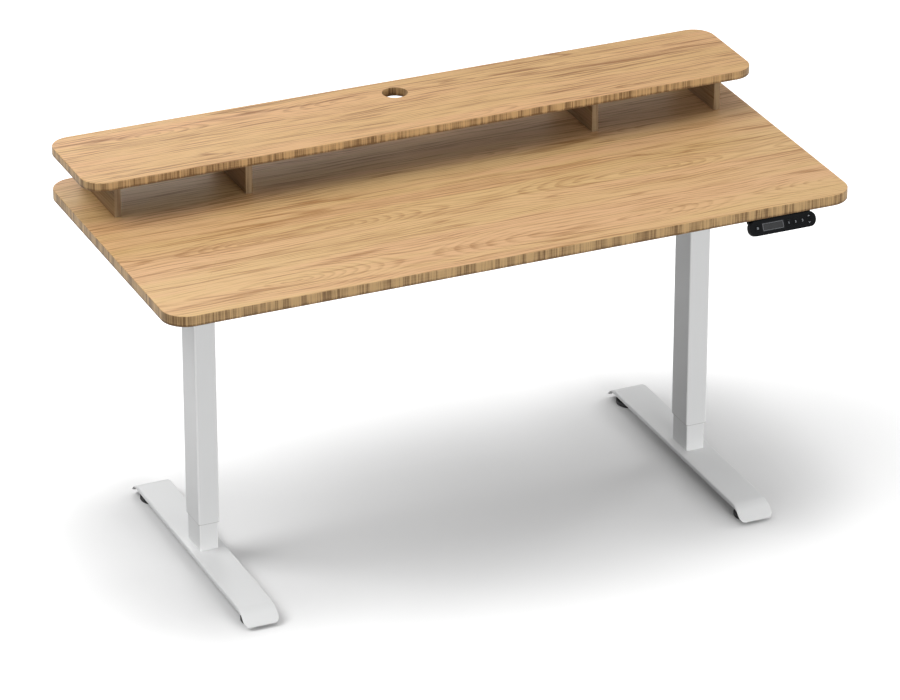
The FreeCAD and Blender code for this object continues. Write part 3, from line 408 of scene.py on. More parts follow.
def make_board(name, node, yellow, pink, dark):
    """Veneered board with streaked edges, painted shade at their foot, and a dark papered underside whose
    tone is painted shade.
    """
    # The paper's dark tone is painted shade: the underside is only ever in shade, and it bounces little
    # light onto the frame, legs and floor.
    pale_paper = (0.2, 0.185, 0.165, 1)
    dark_paper = (0.13, 0.12, 0.105, 1)
    satin_gloss = 0.25
    material, tree, shader, place = new_material(name)
    face = use_group(
        tree,
        oak_figure,
        Position=place,
        Yellow_wood=(*yellow, 1),
        Pink_wood=(*pink, 1),
        Dark_wood=(*dark, 1),
    )
    edge = use_group(
        tree,
        edge_streaks,
        Position=place,
        Underside=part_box(node)[0].z,
        Pale_wood=(0.53, 0.345, 0.162, 1),
        Dark_wood=(0.16, 0.088, 0.035, 1),
    )
    upward = normal_along(tree, "Z")
    flat = mostly(tree, maths(tree, "ABSOLUTE", upward))
    below = mostly(tree, maths(tree, "MULTIPLY", upward, -1.0))
    paper = mix(tree, noise(tree, place, (160, 160, 160), 4.0), pale_paper, dark_paper)
    sides = mix(tree, flat, edge["Color"], face["Color"])
    feed(tree, shader.inputs["Base Color"], mix(tree, below, sides, paper))
    feed(tree, shader.inputs["Roughness"], face["Roughness"])
    feed(tree, shader.inputs["Specular IOR Level"], satin_gloss)
    add_bump(tree, shader, maths(tree, "MULTIPLY", face["Height"], flat), pore_depth)
    dress(material, node)


pore_depth = 0.0001
oak_figure = make_oak_figure()
edge_streaks = make_edge_streaks()
make_board("oak_board", "desk_top", (0.69, 0.454, 0.206), (0.705, 0.425, 0.215), (0.4, 0.2, 0.07))


# Monitor shelf
# A second, narrower board of the same make, with a plain round hole for cables near its back edge.
# It stands on four upright boards with eased edges, doweled to the shelf and screwed through the top.
def rounded_outline(width, height, corner, inset=0.0, steps=4):
    """Rectangle with round corners about the origin, drawn in by an inset."""
    least_corner = 0.0001
    radius = max(corner - inset, least_corner)
    reach_x = width / 2 - inset - radius
    reach_y = height / 2 - inset - radius
    points = []
    for quarter, (side_x, side_y) in enumerate(((1, 1), (-1, 1), (-1, -1), (1, -1))):
        for step in range(steps + 1):
            angle = math.pi / 2 * (quarter + step / steps)
            x = side_x * reach_x + radius * math.cos(angle)
            y = side_y * reach_y + radius * math.sin(angle)
            points.append((x, y))
    return points


def loft(shape, rings, place=Matrix(), endless=False):
    """Skin over a row of closed rings with equal numbers of points, capped or joined end to end."""
    rows = [[shape.verts.new(place @ Vector(point)) for point in points] for points in rings]
    if endless:
        rows.append(rows[0])
    else:
        shape.faces.new(rows[0])
        shape.faces.new(rows[-1])
    for first, second in zip(rows, rows[1:]):
        for index in range(len(first)):
            shape.faces.new((first[index - 1], first[index], second[index], second[index - 1]))


def add_slab(shape, low, high, corner, eased):
    """Upright block with round corners and eased top and bottom edges."""
    size = high - low
    middle = (low + high) / 2
    shoulder = 0.3 * eased
    levels = (
        (low.z, eased),
        (low.z + shoulder, shoulder),
        (low.z + eased, 0.0),
        (high.z - eased, 0.0),
        (high.z - shoulder, shoulder),
        (high.z, eased),
    )
    rings = []
    for level, inset in levels:
        outline = rounded_outline(size.x, size.y, corner, inset)
        rings.append([(middle.x + x, middle.y + y, level) for x, y in outline])
    loft(shape, rings)


sharp_angle = math.radians(38)


def add_piece(name, shape, material, slot, body, *nodes):
    """Turn a shape into a piece that rides on a body and stands for the CAD nodes that are named."""
    bmesh.ops.recalc_face_normals(shape, faces=shape.faces)
    mesh = bpy.data.meshes.new(name)
    shape.to_mesh(mesh)
    shape.free()
    for polygon in mesh.polygons:
        polygon.use_smooth = True
    mesh.set_sharp_from_angle(angle=sharp_angle)
    mesh.materials.append(material)
    piece = bpy.data.objects.new(name, mesh)
    bpy.context.scene.collection.objects.link(piece)
    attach(piece, body)
    if nodes:
        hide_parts(*nodes)


# The shelf's oak is darker and more saturated than the top's: partly its own tone, partly painted shade that
# holds back the extra light the shelf catches near the softboxes.
make_board("oak_shelf", "monitor_shelf", (0.665, 0.416, 0.18), (0.68, 0.392, 0.188), (0.3, 0.138, 0.043))
upright_gloss = 0.15
support_edge = 0.0009
# Painted shade: the uprights get a darker, greyer copy of the oak, for the shade they stand in under the
# shelf.
shaded_oak_upright, tree, shader, place = new_material("shaded_oak_upright")
axes = add_node(tree, "SeparateXYZ", Vector=place).outputs
lengthways = add_node(tree, "CombineXYZ", X=axes["Y"], Y=axes["Z"], Z=axes["X"]).outputs[0]
face = use_group(
    tree,
    oak_figure,
    Position=lengthways,
    Yellow_wood=(0.37, 0.257, 0.138, 1),
    Pink_wood=(0.38, 0.244, 0.142, 1),
    Dark_wood=(0.24, 0.135, 0.06, 1),
)
edge = use_group(
    tree,
    edge_streaks,
    Position=place,
    Underside=0.0,
    Pale_wood=(0.3, 0.215, 0.125, 1),
    Dark_wood=(0.17, 0.11, 0.06, 1),
)
cut_end = mostly(tree, maths(tree, "ABSOLUTE", normal_along(tree, "Y")))
feed(tree, shader.inputs["Base Color"], mix(tree, cut_end, face["Color"], edge["Color"]))
feed(tree, shader.inputs["Roughness"], face["Roughness"])
feed(tree, shader.inputs["Specular IOR Level"], upright_gloss)
add_bump(tree, shader, face["Height"], pore_depth)
for spot in ("left_end", "left_inner", "right_inner", "right_end"):
    node = f"shelf_support_{spot}"
    board = bmesh.new()
    add_slab(board, *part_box(node), support_edge, support_edge)
    add_piece(f"support_board_{spot}", board, shaded_oak_upright, "oak_board", "upper", node)

pale_beech = (0.66, 0.48, 0.3, 1)
dark_beech = (0.5, 0.33, 0.18, 1)
beech, tree, shader, place = new_material("beech_dowel")
fibre = noise(tree, place, (900, 900, 30), 3.0)
feed(tree, shader.inputs["Base Color"], mix(tree, fibre, pale_beech, dark_beech))
feed(tree, shader.inputs["Roughness"], weigh(tree, 0.5, (fibre, 0.25)))
dress(beech, "shelf_dowels")


# Frame under the top
# Two rails of steel tube join two folded steel heads, and an angle bracket crosses each end of the desk.
# All are powder coated white and bolted together, and the brackets are screwed up into the wood.
def make_surface_texture():
    """Fine texture of a sprayed, cast or moulded skin, with a faint drift of tone and gloss."""
    group, given, made = new_group(
        "surface_texture",
        {"Position": "Vector", "Tone": "Color", "Grain": "Float", "Drift": "Float", "Roughness": "Float"},
        {"Color": "Color", "Roughness": "Float", "Height": "Float"},
    )
    position = given["Position"]
    fine = add_node(group, "VectorMath", {"operation": "SCALE"}, Vector=position, Scale=given["Grain"])
    grain = add_node(group, "TexNoise", Vector=fine.outputs[0], Scale=1.0, Detail=2.0).outputs["Fac"]
    patch = noise(group, position, (7, 7, 7), 3.0)
    uneven = weigh(group, -1.5, (patch, 2.0), (grain, 1.0))
    shade = maths(group, "MULTIPLY_ADD", uneven, given["Drift"], 1.0)
    tint = add_node(group, "VectorMath", {"operation": "SCALE"}, Vector=given["Tone"], Scale=shade)
    feed(group, made["Color"], tint.outputs[0])
    feed(group, made["Roughness"], weigh(group, given["Roughness"], (patch, 0.16), (grain, 0.1)))
    feed(group, made["Height"], grain)
    return group


def make_skin(name, tone, grain, drift, roughness, bump, metallic=0.0, gloss=0.5):
    """Plain finish with a fine skin: grains per metre, drift of tone and depth of relief."""
    material, tree, shader, place = new_material(name)
    skin = use_group(
        tree,
        surface_texture,
        Position=place,
        Tone=(*tone, 1),
        Grain=grain,
        Drift=drift,
        Roughness=roughness,
    )
    feed(tree, shader.inputs["Base Color"], skin["Color"])
    feed(tree, shader.inputs["Roughness"], skin["Roughness"])
    feed(tree, shader.inputs["Metallic"], metallic)
    feed(tree, shader.inputs["Specular IOR Level"], gloss)
    add_bump(tree, shader, skin["Height"], bump)
    return material


def paint_corner_highlight(material, tone):
    """Painted highlight: a paler tone on upright round corners, where they catch more of the light."""
    highlight_start = 0.2
    highlight_full = 0.4
    tree = material.node_tree
    base_colour = tree.nodes["Principled BSDF"].inputs["Base Color"]
    flat_tone = base_colour.links[0].from_socket
    both_ways = maths(tree, "MULTIPLY", normal_along(tree, "X"), normal_along(tree, "Y"))
    corner = ease(tree, maths(tree, "ABSOLUTE", both_ways), highlight_start, highlight_full)
    feed(tree, base_colour, mix(tree, corner, flat_tone, (*tone, 1)))


def round_corners(path, radius, steps=4):
    """Open path with an arc at each of its inner corners."""
    rounded = [Vector(path[0])]
    for before, corner, after in zip(path, path[1:], path[2:]):
        corner = Vector(corner)
        back = (Vector(before) - corner).normalized()
        onward = (Vector(after) - corner).normalized()
        half_angle = back.angle(onward) / 2
        centre = corner + (back + onward).normalized() * (radius / math.sin(half_angle))
        start = corner + back * (radius / math.tan(half_angle)) - centre
        end = corner + onward * (radius / math.tan(half_angle)) - centre
        turn = math.atan2(start.cross(end), start.dot(end))
        for step in range(steps + 1):
            rounded.append(centre + Matrix.Rotation(turn * step / steps, 2) @ start)
    rounded.append(Vector(path[-1]))
    return rounded


least_bend = 0.0002


def fold(outer, inner, bend, thickness):
    """Cross-section of a folded sheet from its two faces."""
    inner_bend = max(bend - thickness, least_bend)
    return round_corners(outer, bend) + round_corners(inner, inner_bend)[::-1]


def add_prism(shape, outline, axis, start, end):
    """Straight bar with the given cross-section along the X or Y axis."""
    rings = []
    for level in (start, end):
        if axis == "X":
            rings.append([(level, across, height) for across, height in outline])
        else:
            rings.append([(across, level, height) for across, height in outline])
    loft(shape, rings)


def soften(shape, width):
    """Ease the cut edges of a shape."""
    cut_angle = math.radians(50)
    bmesh.ops.recalc_face_normals(shape, faces=shape.faces)
    cut_edges = [edge for edge in shape.edges if edge.calc_face_angle(0.0) > cut_angle]
    bmesh.ops.bevel(shape, geom=cut_edges, offset=width, segments=2, profile=0.5, affect="EDGES")


surface_texture = make_surface_texture()
white_steel = make_skin(
    "white_steel", (0.805, 0.81, 0.81), grain=900, drift=0.015, roughness=0.3, bump=0.00006
)
# Painted highlight on the upright round corners of the white steel.
paint_corner_highlight(white_steel, (0.95, 0.95, 0.95))
sheet_edge = 0.0004
head_sheet = 0.0025
head_bend = 0.004
bracket_sheet = 0.003
bracket_bend = 0.0045
rail_corner = 0.003
rail_wall = 0.0015
for side, sign in (("left", -1), ("right", 1)):
    low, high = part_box(f"column_head_{side}")
    open_end, closed_end = sorted((low.x, high.x), key=abs)
    wall_start = closed_end - sign * head_sheet
    outer = [(low.y, high.z), (low.y, low.z), (high.y, low.z), (high.y, high.z)]
    left_face = low.y + head_sheet
    right_face = high.y - head_sheet
    head_floor = low.z + head_sheet
    inner = [(left_face, high.z), (left_face, head_floor), (right_face, head_floor), (right_face, high.z)]
    head = bmesh.new()
    add_prism(head, fold(outer, inner, head_bend, head_sheet), "X", open_end, wall_start)
    add_prism(head, round_corners(outer, head_bend), "X", wall_start, closed_end)
    soften(head, sheet_edge)
    add_piece(f"folded_head_{side}", head, white_steel, "white_steel", "upper", f"column_head_{side}")

    low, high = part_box(f"side_bracket_{side}")
    web, flange_end = sorted((low.x, high.x), key=abs)
    web_face = web + sign * bracket_sheet
    flange_face = high.z - bracket_sheet
    outer = [(flange_end, high.z), (web, high.z), (web, low.z)]
    inner = [(flange_end, flange_face), (web_face, flange_face), (web_face, low.z)]
    bracket = bmesh.new()
    add_prism(bracket, fold(outer, inner, bracket_bend, bracket_sheet), "Y", low.y, high.y)
    soften(bracket, sheet_edge)
    add_piece(f"angle_bracket_{side}", bracket, white_steel, "white_steel", "upper", f"side_bracket_{side}")

for end in ("front", "back"):
    low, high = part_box(f"frame_rail_{end}")
    size = high - low
    middle = (low + high) / 2
    rings = []
    for x, inset in ((low.x, 0.0), (high.x, 0.0), (high.x, rail_wall), (low.x, rail_wall)):
        outline = rounded_outline(size.y, size.z, rail_corner, inset)
        rings.append([(x, middle.y + across, middle.z + height) for across, height in outline])
    rail = bmesh.new()
    loft(rail, rings, endless=True)
    add_piece(f"rail_tube_{end}", rail, white_steel, "white_steel", "upper", f"frame_rail_{end}")


# Screws and bolts
# Zinc-plated steel with button heads and a hexagon socket, turned into the frame, the feet and the wood.
# Each set stands where its solids stand.
def ring(radius, level, hexagon=False, steps=24):
    """Circle or hexagon about the Z axis; a hexagon's radius is to the middle of its sides."""
    points = []
    for step in range(steps):
        angle = 2 * math.pi * step / steps
        reach = radius
        if hexagon:
            reach /= math.cos((angle + math.pi / 6) % (math.pi / 3) - math.pi / 6)
        points.append((reach * math.cos(angle), reach * math.sin(angle), level))
    return points


def find_islands(node):
    """Corner points of each separate solid in a CAD node."""
    same_place = 1e-6
    shape = bmesh.new()
    shape.from_mesh(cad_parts[node].data)
    bmesh.ops.remove_doubles(shape, verts=shape.verts, dist=same_place)
    waiting = dict.fromkeys(shape.verts)
    islands = []
    while waiting:
        island = [waiting.popitem()[0]]
        for vert in island:
            neighbours = [edge.other_vert(vert) for edge in vert.link_edges]
            fresh = [other for other in neighbours if other in waiting]
            for other in fresh:
                del waiting[other]
            island.extend(fresh)
        islands.append([vert.co.copy() for vert in island])
    shape.free()
    return islands


def add_screw(shape, points):
    """Button-head screw in the place of a plain solid one, found from the solid's corner points."""
    low = Vector([min(point[axis] for point in points) for axis in range(3)])
    high = Vector([max(point[axis] for point in points) for axis in range(3)])
    size = high - low
    along = max(range(3), key=lambda axis: size[axis])
    middle = (low + high) / 2
    reaches = []
    for point in points:
        offset = point - middle
        level = offset[along]
        offset[along] = 0
        reaches.append((offset.length, level))
    head = max(reach for reach, level in reaches)
    head_levels = [level for reach, level in reaches if reach > 0.9 * head]
    tall = max(head_levels) - min(head_levels)
    way = 1 if sum(head_levels) > 0 else -1
    shank = max(reach for reach, level in reaches if way * level < -0.45 * size[along])
    crown = middle.copy()
    crown[along] += way * size[along] / 2
    outward = Vector()
    outward[along] = way
    place = Matrix.Translation(crown) @ outward.to_track_quat("Z", "Y").to_matrix().to_4x4()
    rings = [
        ring(0.8 * shank, -size[along]),
        ring(shank, -size[along] + 0.3 * shank),
        ring(shank, -tall),
        ring(0.97 * head, -tall),
        ring(head, -0.85 * tall),
        ring(0.97 * head, -0.5 * tall),
        ring(0.86 * head, -0.2 * tall),
        ring(0.7 * head, 0),
        ring(0.5 * head, 0, hexagon=True),
        ring(0.48 * head, -0.6 * tall, hexagon=True),
    ]
    loft(shape, rings, place)


zinc_steel = make_skin(
    "zinc_steel", (0.62, 0.63, 0.64), grain=300, drift=0.07, roughness=0.2, bump=0.00002, metallic=1.0
)
screw_sets = {
    "frame_bolts": "upper",
    "wood_screws": "upper",
    "shelf_screws": "upper",
    "foot_bolts_left": "base_left",
    "foot_bolts_right": "base_right",
}
for node, body in screw_sets.items():
    screws = bmesh.new()
    for points in find_islands(node):
        add_screw(screws, points)
    add_piece(f"socket_{node}", screws, zinc_steel, "zinc_steel", body, node)

# Lifting drive
# In each head a cast alloy gearbox with a lid carries a round enamelled motor, which points to the middle.
# The gearbox turns a steel spindle in a brass nut at the top of the inner tube.
cast_alloy = make_skin(
    "cast_alloy", (0.55, 0.55, 0.56), grain=700, drift=0.05, roughness=0.38, bump=0.00008, metallic=1.0
)
motor_enamel = make_skin(
    "motor_enamel", (0.03, 0.03, 0.032), grain=600, drift=0.1, roughness=0.25, bump=0.00003
)
brass = make_skin(
    "brass", (0.66, 0.48, 0.2), grain=500, drift=0.05, roughness=0.2, bump=0.00002, metallic=1.0
)
gearbox_corner = 0.006
gearbox_edge = 0.002
lid_inset = Vector((0.005, 0.005, 0))
lid_height = 0.003
boss_length = 0.006
motor_length = 0.12
# Radius of the motor's skin and distance from the gearbox, from its boss to its tail
motor_lines = (
    (0.0096, -boss_length),
    (0.01, -boss_length + 0.0004),
    (0.01, 0),
    (0.0186, 0),
    (0.0195, 0.0009),
    (0.0195, 0.014),
    (0.0191, 0.0146),
    (0.0191, 0.0164),
    (0.0195, 0.017),
    (0.0195, 0.1),
    (0.019, 0.1006),
    (0.019, 0.103),
    (0.0195, 0.1036),
    (0.0195, motor_length - 0.003),
    (0.0182, motor_length - 0.0006),
    (0.014, motor_length),
    (0.0134, motor_length - 0.0008),
    (0.006, motor_length - 0.0008),
    (0.0056, motor_length),
)
for side, sign in (("left", -1), ("right", 1)):
    low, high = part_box(f"gearbox_{side}")
    gearbox = bmesh.new()
    lid_level = Vector((0, 0, lid_height))
    add_slab(gearbox, low, high - lid_level, gearbox_corner, gearbox_edge)
    lid_low = Vector((low.x, low.y, high.z - 2 * lid_height))
    add_slab(gearbox, lid_low + lid_inset, high - lid_inset, gearbox_corner, lid_height / 4)
    add_piece(f"gearbox_casting_{side}", gearbox, cast_alloy, "cast_alloy", "upper", f"gearbox_{side}")

    low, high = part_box(f"motor_{side}")
    middle = (low + high) / 2
    seat = max(low.x, high.x, key=abs) - sign * boss_length
    place = Matrix.Translation((seat, middle.y, middle.z)) @ Matrix.Rotation(-sign * math.pi / 2, 4, "Y")
    motor = bmesh.new()
    loft(motor, [ring(radius, along, steps=40) for radius, along in motor_lines], place)
    add_piece(f"motor_can_{side}", motor, motor_enamel, "motor_steel", "upper", f"motor_{side}")
    dress(zinc_steel, f"spindle_{side}")
    dress(brass, f"spindle_nut_{side}")

# Legs
# Two rectangular steel tubes on each side, coated white, one sliding in the other on grey plastic bushes.
# The outer tube is welded under the head with a small bead, and the inner tube is bolted to the foot.
grey_plastic = make_skin(
    "grey_plastic", (0.62, 0.62, 0.61), grain=1500, drift=0.03, roughness=0.25, bump=0.00002
)
tube_corner = 0.005
# Inset of the bead's skin from the tube's face and height over the tube's end
bead_lines = (
    (0.0006, -0.0036),
    (-0.0008, -0.003),
    (-0.0022, -0.0017),
    (-0.003, -0.0004),
    (-0.003, 0.0003),
    (0.0006, 0.0003),
)
for side in ("left", "right"):
    low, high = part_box(f"outer_tube_{side}")
    size = high - low
    middle = (low + high) / 2
    rings = []
    for inset, level in bead_lines:
        outline = rounded_outline(size.x, size.y, tube_corner, inset)
        rings.append([(middle.x + x, middle.y + y, high.z + level) for x, y in outline])
    bead = bmesh.new()
    loft(bead, rings, endless=True)
    add_piece(f"weld_bead_{side}", bead, white_steel, "white_steel", "upper")
    dress(white_steel, f"outer_tube_{side}", f"inner_tube_{side}")
    dress(grey_plastic, f"tube_bush_{side}", f"inner_guide_{side}")

# Feet
# Each foot is one strip of steel with its long sides folded down and its ends curved to the floor.
# Its noses are round, a nut is welded under each end for the glide, and all of it is coated white.
foot_slope = 0.042
foot_knee = 0.025
foot_knee_top = 0.0317
foot_tip_top = 0.0104
foot_tip_edge = 0.003
foot_sheet = 0.0025
foot_fold = 0.0035
foot_bend = 0.048
flange_bend = 0.012
foot_nose = 0.014
nose_steps = 9
nut_radius = 0.0063
nut_low = 0.0225
nut_high = 0.0357
nut_chamfer = 0.0007


def foot_ring(middle_x, half, y, top, bottom):
    """Cross-section of the folded foot at one place along it."""
    deep = top - bottom
    bend = min(foot_fold, 0.9 * deep)
    outer = [(-half, bottom), (-half, top), (half, top), (half, bottom)]
    inside = half - foot_sheet
    ceiling = max(top - foot_sheet, bottom + least_bend)
    inner = [(-inside, bottom), (-inside, ceiling), (inside, ceiling), (inside, bottom)]
    inner_bend = min(max(bend - foot_sheet, least_bend), 0.8 * (ceiling - bottom))
    outline = round_corners(outer, bend) + round_corners(inner, inner_bend)[::-1]
    return [(middle_x + x, y, z) for x, z in outline]


def level_on(path, y):
    """Height of a path at one place along it."""
    least_step = 1e-9
    for before, after in zip(path, path[1:]):
        if before.x <= y <= after.x:
            share = (y - before.x) / max(after.x - before.x, least_step)
            return before.y + share * (after.y - before.y)
    return path[-1].y


for side in ("left", "right"):
    low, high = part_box(f"foot_{side}")
    tip = high.y
    bend_y = tip - foot_slope
    knee_y = tip - foot_knee
    middle_x = (low.x + high.x) / 2
    half_width = (high.x - low.x) / 2
    front_end = [(-tip, foot_tip_top), (-knee_y, foot_knee_top), (-bend_y, high.z)]
    back_end = [(-y, z) for y, z in reversed(front_end)]
    top_path = round_corners(front_end + back_end, foot_bend)
    flange_path = round_corners(front_end[:2] + back_end[1:], flange_bend)
    nose = [foot_nose * (1 - math.cos(math.pi / 2 * step / nose_steps)) for step in range(nose_steps + 1)]
    stations = [point.x for point in top_path[1:-1] + flange_path[1:-1]]
    stations += [end * (tip - back) for back in nose for end in (-1, 1)]
    rings = []
    for y in sorted({round(y, 5) for y in stations}):
        back = min(tip - abs(y), foot_nose)
        half = half_width - foot_nose + math.sqrt(foot_nose**2 - (foot_nose - back) ** 2)
        top = level_on(top_path, y)
        bottom = level_on(flange_path, y) - foot_tip_edge
        rings.append(foot_ring(middle_x, half, y, top, bottom))
    foot = bmesh.new()
    loft(foot, rings)
    for end in ("front", "back"):
        nut_middle = sum(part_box(f"glide_stud_{side}_{end}"), Vector()) / 2
        place = Matrix.Translation((nut_middle.x, nut_middle.y, 0))
        chamfer_top = nut_low + nut_chamfer
        nut_lines = ((0.9 * nut_radius, nut_low), (nut_radius, chamfer_top), (nut_radius, nut_high))
        loft(foot, [ring(radius, level, hexagon=True) for radius, level in nut_lines], place)
    add_piece(f"folded_foot_{side}", foot, white_steel, "white_steel", f"base_{side}", f"foot_{side}")

# Levelling glides
# A round black nylon pad with a grooved rim stands on the floor under each end of a foot.
# A threaded zinc-plated stud turns in the pad's collar and in the nut above it to level the desk.
black_nylon = make_skin(
    "black_nylon", (0.014, 0.014, 0.015), grain=1500, drift=0.15, roughness=0.38, bump=0.00005
)
# Radius of the pad's skin and height over the floor, from the hollow underneath to the hole in the collar
pad_lines = (
    (0.022, 0.0008),
    (0.023, 0.0),
    (0.0305, 0.0),
    (0.0322, 0.0007),
    (0.033, 0.0022),
    (0.033, 0.0046),
    (0.0324, 0.005),
    (0.0324, 0.0056),
    (0.033, 0.006),
    (0.033, 0.0082),
    (0.032, 0.0094),
    (0.028, 0.0102),
    (0.0135, 0.0108),
    (0.012, 0.0114),
    (0.0114, 0.012),
    (0.0045, 0.012),
    (0.0043, 0.0112),
)
thread_pitch = 0.00125
thread_depth = 0.0006
for side in ("left", "right"):
    for end in ("front", "back"):
        spot = f"{side}_{end}"
        low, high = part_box(f"glide_pad_{spot}")
        middle = (low + high) / 2
        pad = bmesh.new()
        place = Matrix.Translation((middle.x, middle.y, low.z))
        loft(pad, [ring(radius, level, steps=64) for radius, level in pad_lines], place)
        body = f"glide_{spot}"
        add_piece(f"nylon_pad_{spot}", pad, black_nylon, "black_plastic", body, f"glide_pad_{spot}")

        low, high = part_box(f"glide_stud_{spot}")
        radius = (high.x - low.x) / 2
        place = Matrix.Translation((middle.x, middle.y, low.z))
        rings = []
        for turn in range(int((high.z - low.z) / thread_pitch)):
            rings.append(ring(radius - thread_depth, turn * thread_pitch))
            rings.append(ring(radius, (turn + 0.5) * thread_pitch))
        stud = bmesh.new()
        loft(stud, rings, place)
        body = f"stud_{spot}"
        add_piece(f"threaded_stud_{spot}", stud, zinc_steel, "zinc_steel", body, f"glide_stud_{spot}")

# Control box
# A moulded black box on a screwed base plate hangs under the middle of the top, between the rails.
# Cooling ribs cross its underside. One end has the mains inlet and sockets for the motors and the handset.
black_plastic = make_skin(
    "black_plastic", (0.011, 0.011, 0.0115), grain=1800, drift=0.12, roughness=0.4, bump=0.00005, gloss=0.25
)
board_green = make_skin(
    "board_green", (0.02, 0.16, 0.07), grain=1200, drift=0.1, roughness=0.25, bump=0.00002
)
box_corner = 0.004
box_edge = 0.0022
plate_edge = 0.0006
rib_count = 15
rib_pitch = 0.012
rib_half = Vector((0.0016, 0.032, 0.001))
socket_proud = 0.004
socket_root = -0.001
socket_floor = 0.0008
socket_rim = 0.0016
socket_corner = 0.002
pin_middle = 0.0016
pin_half_length = 0.0014
pin_edge = 0.0002
# Place across the end, width and height of the mains inlet and of the three sockets
sockets = [(0.02, 0.028, 0.02), (-0.005, 0.01, 0.009), (-0.019, 0.01, 0.009), (-0.033, 0.01, 0.009)]
plate = bmesh.new()
add_slab(plate, *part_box("control_box_base"), box_corner, plate_edge)
add_piece("box_plate", plate, black_plastic, "black_plastic", "upper", "control_box_base")

low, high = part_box("control_box_cover")
cover = bmesh.new()
add_slab(cover, low, high, box_corner, box_edge)
middle = (low + high) / 2
for index in range(rib_count):
    along = (index - (rib_count - 1) / 2) * rib_pitch
    rib = Vector((middle.x + along, middle.y, low.z))
    add_slab(cover, rib - rib_half, rib + rib_half, rib_half.x, rib_half.z / 2)
socket_lines = (
    (socket_root, 0.0),
    (socket_proud, 0.0),
    (socket_proud, socket_rim),
    (socket_floor, socket_rim),
)
for y, width, height in sockets:
    rings = []
    for out, inset in socket_lines:
        outline = rounded_outline(width + 2 * socket_rim, height + 2 * socket_rim, socket_corner, inset)
        rings.append([(high.x + out, middle.y + y + across, middle.z + up) for across, up in outline])
    loft(cover, rings)
add_piece("box_cover", cover, black_plastic, "black_plastic", "upper", "control_box_cover")
pins = bmesh.new()
for y, width, height in sockets:
    pin_half = Vector((pin_half_length, width / 24, height / 8))
    for column in (-1, 0, 1):
        aside = y + column * width / 4
        raised = height / 6 if column == 0 else 0
        pin = Vector((high.x + pin_middle, middle.y + aside, middle.z + raised))
        add_slab(pins, pin - pin_half, pin + pin_half, pin_edge, pin_edge)
add_piece("socket_pins", pins, brass, "zinc_steel", "upper")
dress(board_green, "control_board", "handset_board")


# Handset
# A flat black moulded case hangs under the front edge on two tabs, with its face tilted up to the sitter.
# It has a smoky display window, six soft-edged keys and fine light grey marks printed on them.
# A thin rib joins the tabs behind the case and closes the slit under the wood; its black stands in for the
# shade in that slit.
handset_tilt = math.radians(25)
handset_up = Vector((0, math.sin(handset_tilt), math.cos(handset_tilt)))
handset_out = Vector((0, -math.cos(handset_tilt), math.sin(handset_tilt)))
face_top = Vector((0.618, -0.3805, 0.7647))
face_half = 0.017
face_middle = face_top - face_half * handset_up
face_turn = Matrix((Vector((1, 0, 0)), handset_up, handset_out)).transposed().to_4x4()
handset_place = Matrix.Translation(face_middle) @ face_turn
smoke_lens = make_skin(
    "smoke_lens", (0.008, 0.009, 0.011), grain=60, drift=0.1, roughness=0.06, bump=0.0
)
key_print = make_skin(
    "key_print", (0.36, 0.38, 0.41), grain=2500, drift=0.08, roughness=0.4, bump=0.00001
)
handset_black = make_skin(
    "handset_black",
    (0.007, 0.0075, 0.0085),
    grain=1800,
    drift=0.12,
    roughness=0.45,
    bump=0.00005,
    gloss=0.05,
)
dress(handset_black, "handset_case", "handset_cover")
dress(smoke_lens, "handset_lens")


def arc(x, y, radius, start, end, steps=8):
    """Points of an arc, with its angles in degrees."""
    angles = [math.radians(start + (end - start) * step / steps) for step in range(steps + 1)]
    return [(x + radius * math.cos(angle), y + radius * math.sin(angle)) for angle in angles]


def add_line(shape, points, width, low, high, place, endless=False):
    """Flat printed line along a path."""
    path = [Vector(point) for point in points]
    rings = []
    for index, point in enumerate(path):
        before = path[index - 1] if index or endless else point
        after = path[(index + 1) % len(path)] if index < len(path) - 1 or endless else point
        along = (after - before).normalized()
        aside = Vector((-along.y, along.x)) * (width / 2)
        left = point + aside
        right = point - aside
        rings.append([(*left, low), (*left, high), (*right, high), (*right, low)])
    loft(shape, rings, place, endless)


bar_reach = 0.045
bar_low = face_half - 0.0002
bar_high = face_half + 0.0052
bar_front = -0.0115
bar_back = -0.014
bar_ease = 0.0006
# Painted shade: the black rib fills the slit between the case and the wood, where there is only shade.
bar = bmesh.new()
bar_outline = [(bar_front, bar_low), (bar_front, bar_high), (bar_back, bar_high), (bar_back, bar_low)]
loft(bar, [[(x, up, depth) for depth, up in bar_outline] for x in (-bar_reach, bar_reach)], handset_place)
soften(bar, bar_ease)
add_piece("tab_rib", bar, handset_black, "black_plastic", "upper")

key_width = 0.011
key_length = 0.014
arrow_length = 0.011
key_corner = 0.0025
key_proud = 0.0008
key_root = -0.0022
mark_width = 0.0009
mark_low = 0.00062
mark_high = key_proud + 0.0001
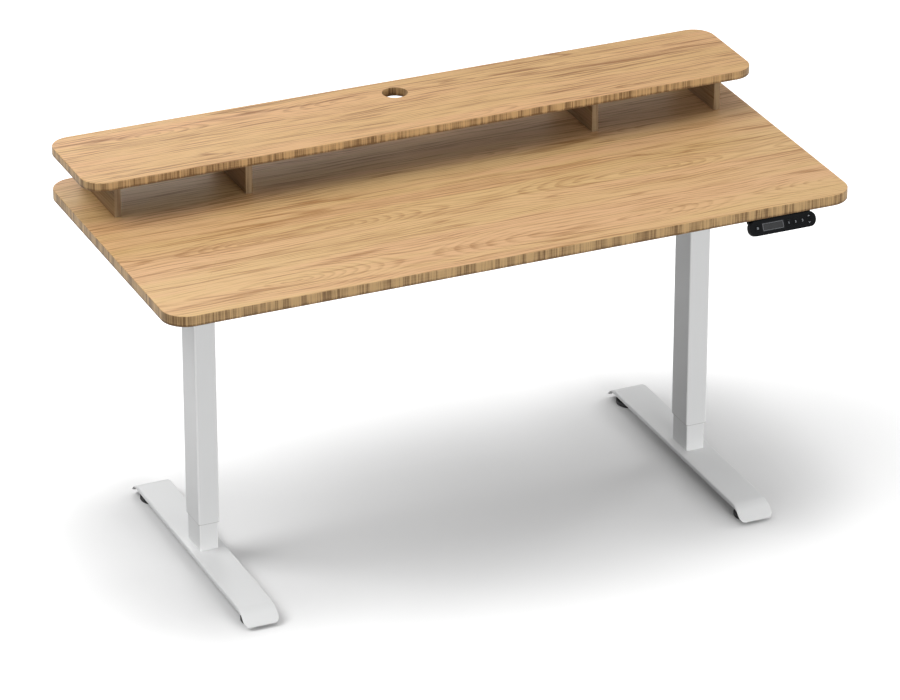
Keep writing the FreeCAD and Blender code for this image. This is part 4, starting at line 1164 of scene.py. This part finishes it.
# Inset of a key's skin from its outline and height over the face, from its root to its dished top
key_lines = (
    (0.0, key_root),
    (0.0, 0.0003),
    (0.0002, 0.0006),
    (0.0007, key_proud),
    (0.0018, 0.00078),
    (0.0032, 0.0007),
)
bookmark = [(-0.0014, 0.0022), (0.0014, 0.0022), (0.0014, -0.0022), (0, -0.0009), (-0.0014, -0.0022)]
one = [(-0.0009, 0.0013), (0.0002, 0.0021), (0.0002, -0.0021)]
two = arc(0, 0.001, 0.0011, 165, -40) + [(-0.0012, -0.0021), (0.0013, -0.0021)]
three = arc(0, 0.00105, 0.00105, 150, -85) + arc(0, -0.001, 0.0012, 80, -150)
chevron_up = [(-0.0021, -0.001), (0, 0.0011), (0.0021, -0.001)]
chevron_down = [(x, -y) for x, y in chevron_up]
# Place of each key on the face, its length and its mark
keys = {
    "memory": (-0.0625, 0.0, key_length, bookmark),
    "preset_1": (0.013, 0.0, key_length, one),
    "preset_2": (0.0295, 0.0, key_length, two),
    "preset_3": (0.046, 0.0, key_length, three),
    "up": (0.0625, 0.007, arrow_length, chevron_up),
    "down": (0.0625, -0.007, arrow_length, chevron_down),
}
for name, (x, y, length, mark) in keys.items():
    place = handset_place @ Matrix.Translation((x, y, 0))
    key = bmesh.new()
    rings = []
    for inset, level in key_lines:
        rings.append([(*point, level) for point in rounded_outline(key_width, length, key_corner, inset)])
    loft(key, rings, place)
    add_piece(f"key_{name}", key, handset_black, "black_plastic", f"button_{name}", f"button_{name}")
    print_shape = bmesh.new()
    add_line(print_shape, mark, mark_width, mark_low, mark_high, place, endless=mark is bookmark)
    add_piece(f"key_mark_{name}", print_shape, key_print, "grey_plastic", f"button_{name}")

window_width = 0.052
window_height = 0.018
window_corner = 0.003
window_inset = 0.0016
line_width = 0.0009
line_low = -0.0001
line_high = 0.00006
window_paint = make_skin(
    "window_paint", (0.1, 0.105, 0.115), grain=2500, drift=0.08, roughness=0.4, bump=0.00001
)
low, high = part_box("handset_lens")
lens_x = (low.x + high.x) / 2 - face_middle.x
place = handset_place @ Matrix.Translation((lens_x, 0, 0))
outline = rounded_outline(window_width, window_height, window_corner, window_inset)
window_line = bmesh.new()
add_line(window_line, outline, line_width, line_low, line_high, place, endless=True)
add_piece("window_line", window_line, window_paint, "grey_plastic", "upper")

# Sizes
# The box of the dressed desk, by its low and its high corner, in metres.
low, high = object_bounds()
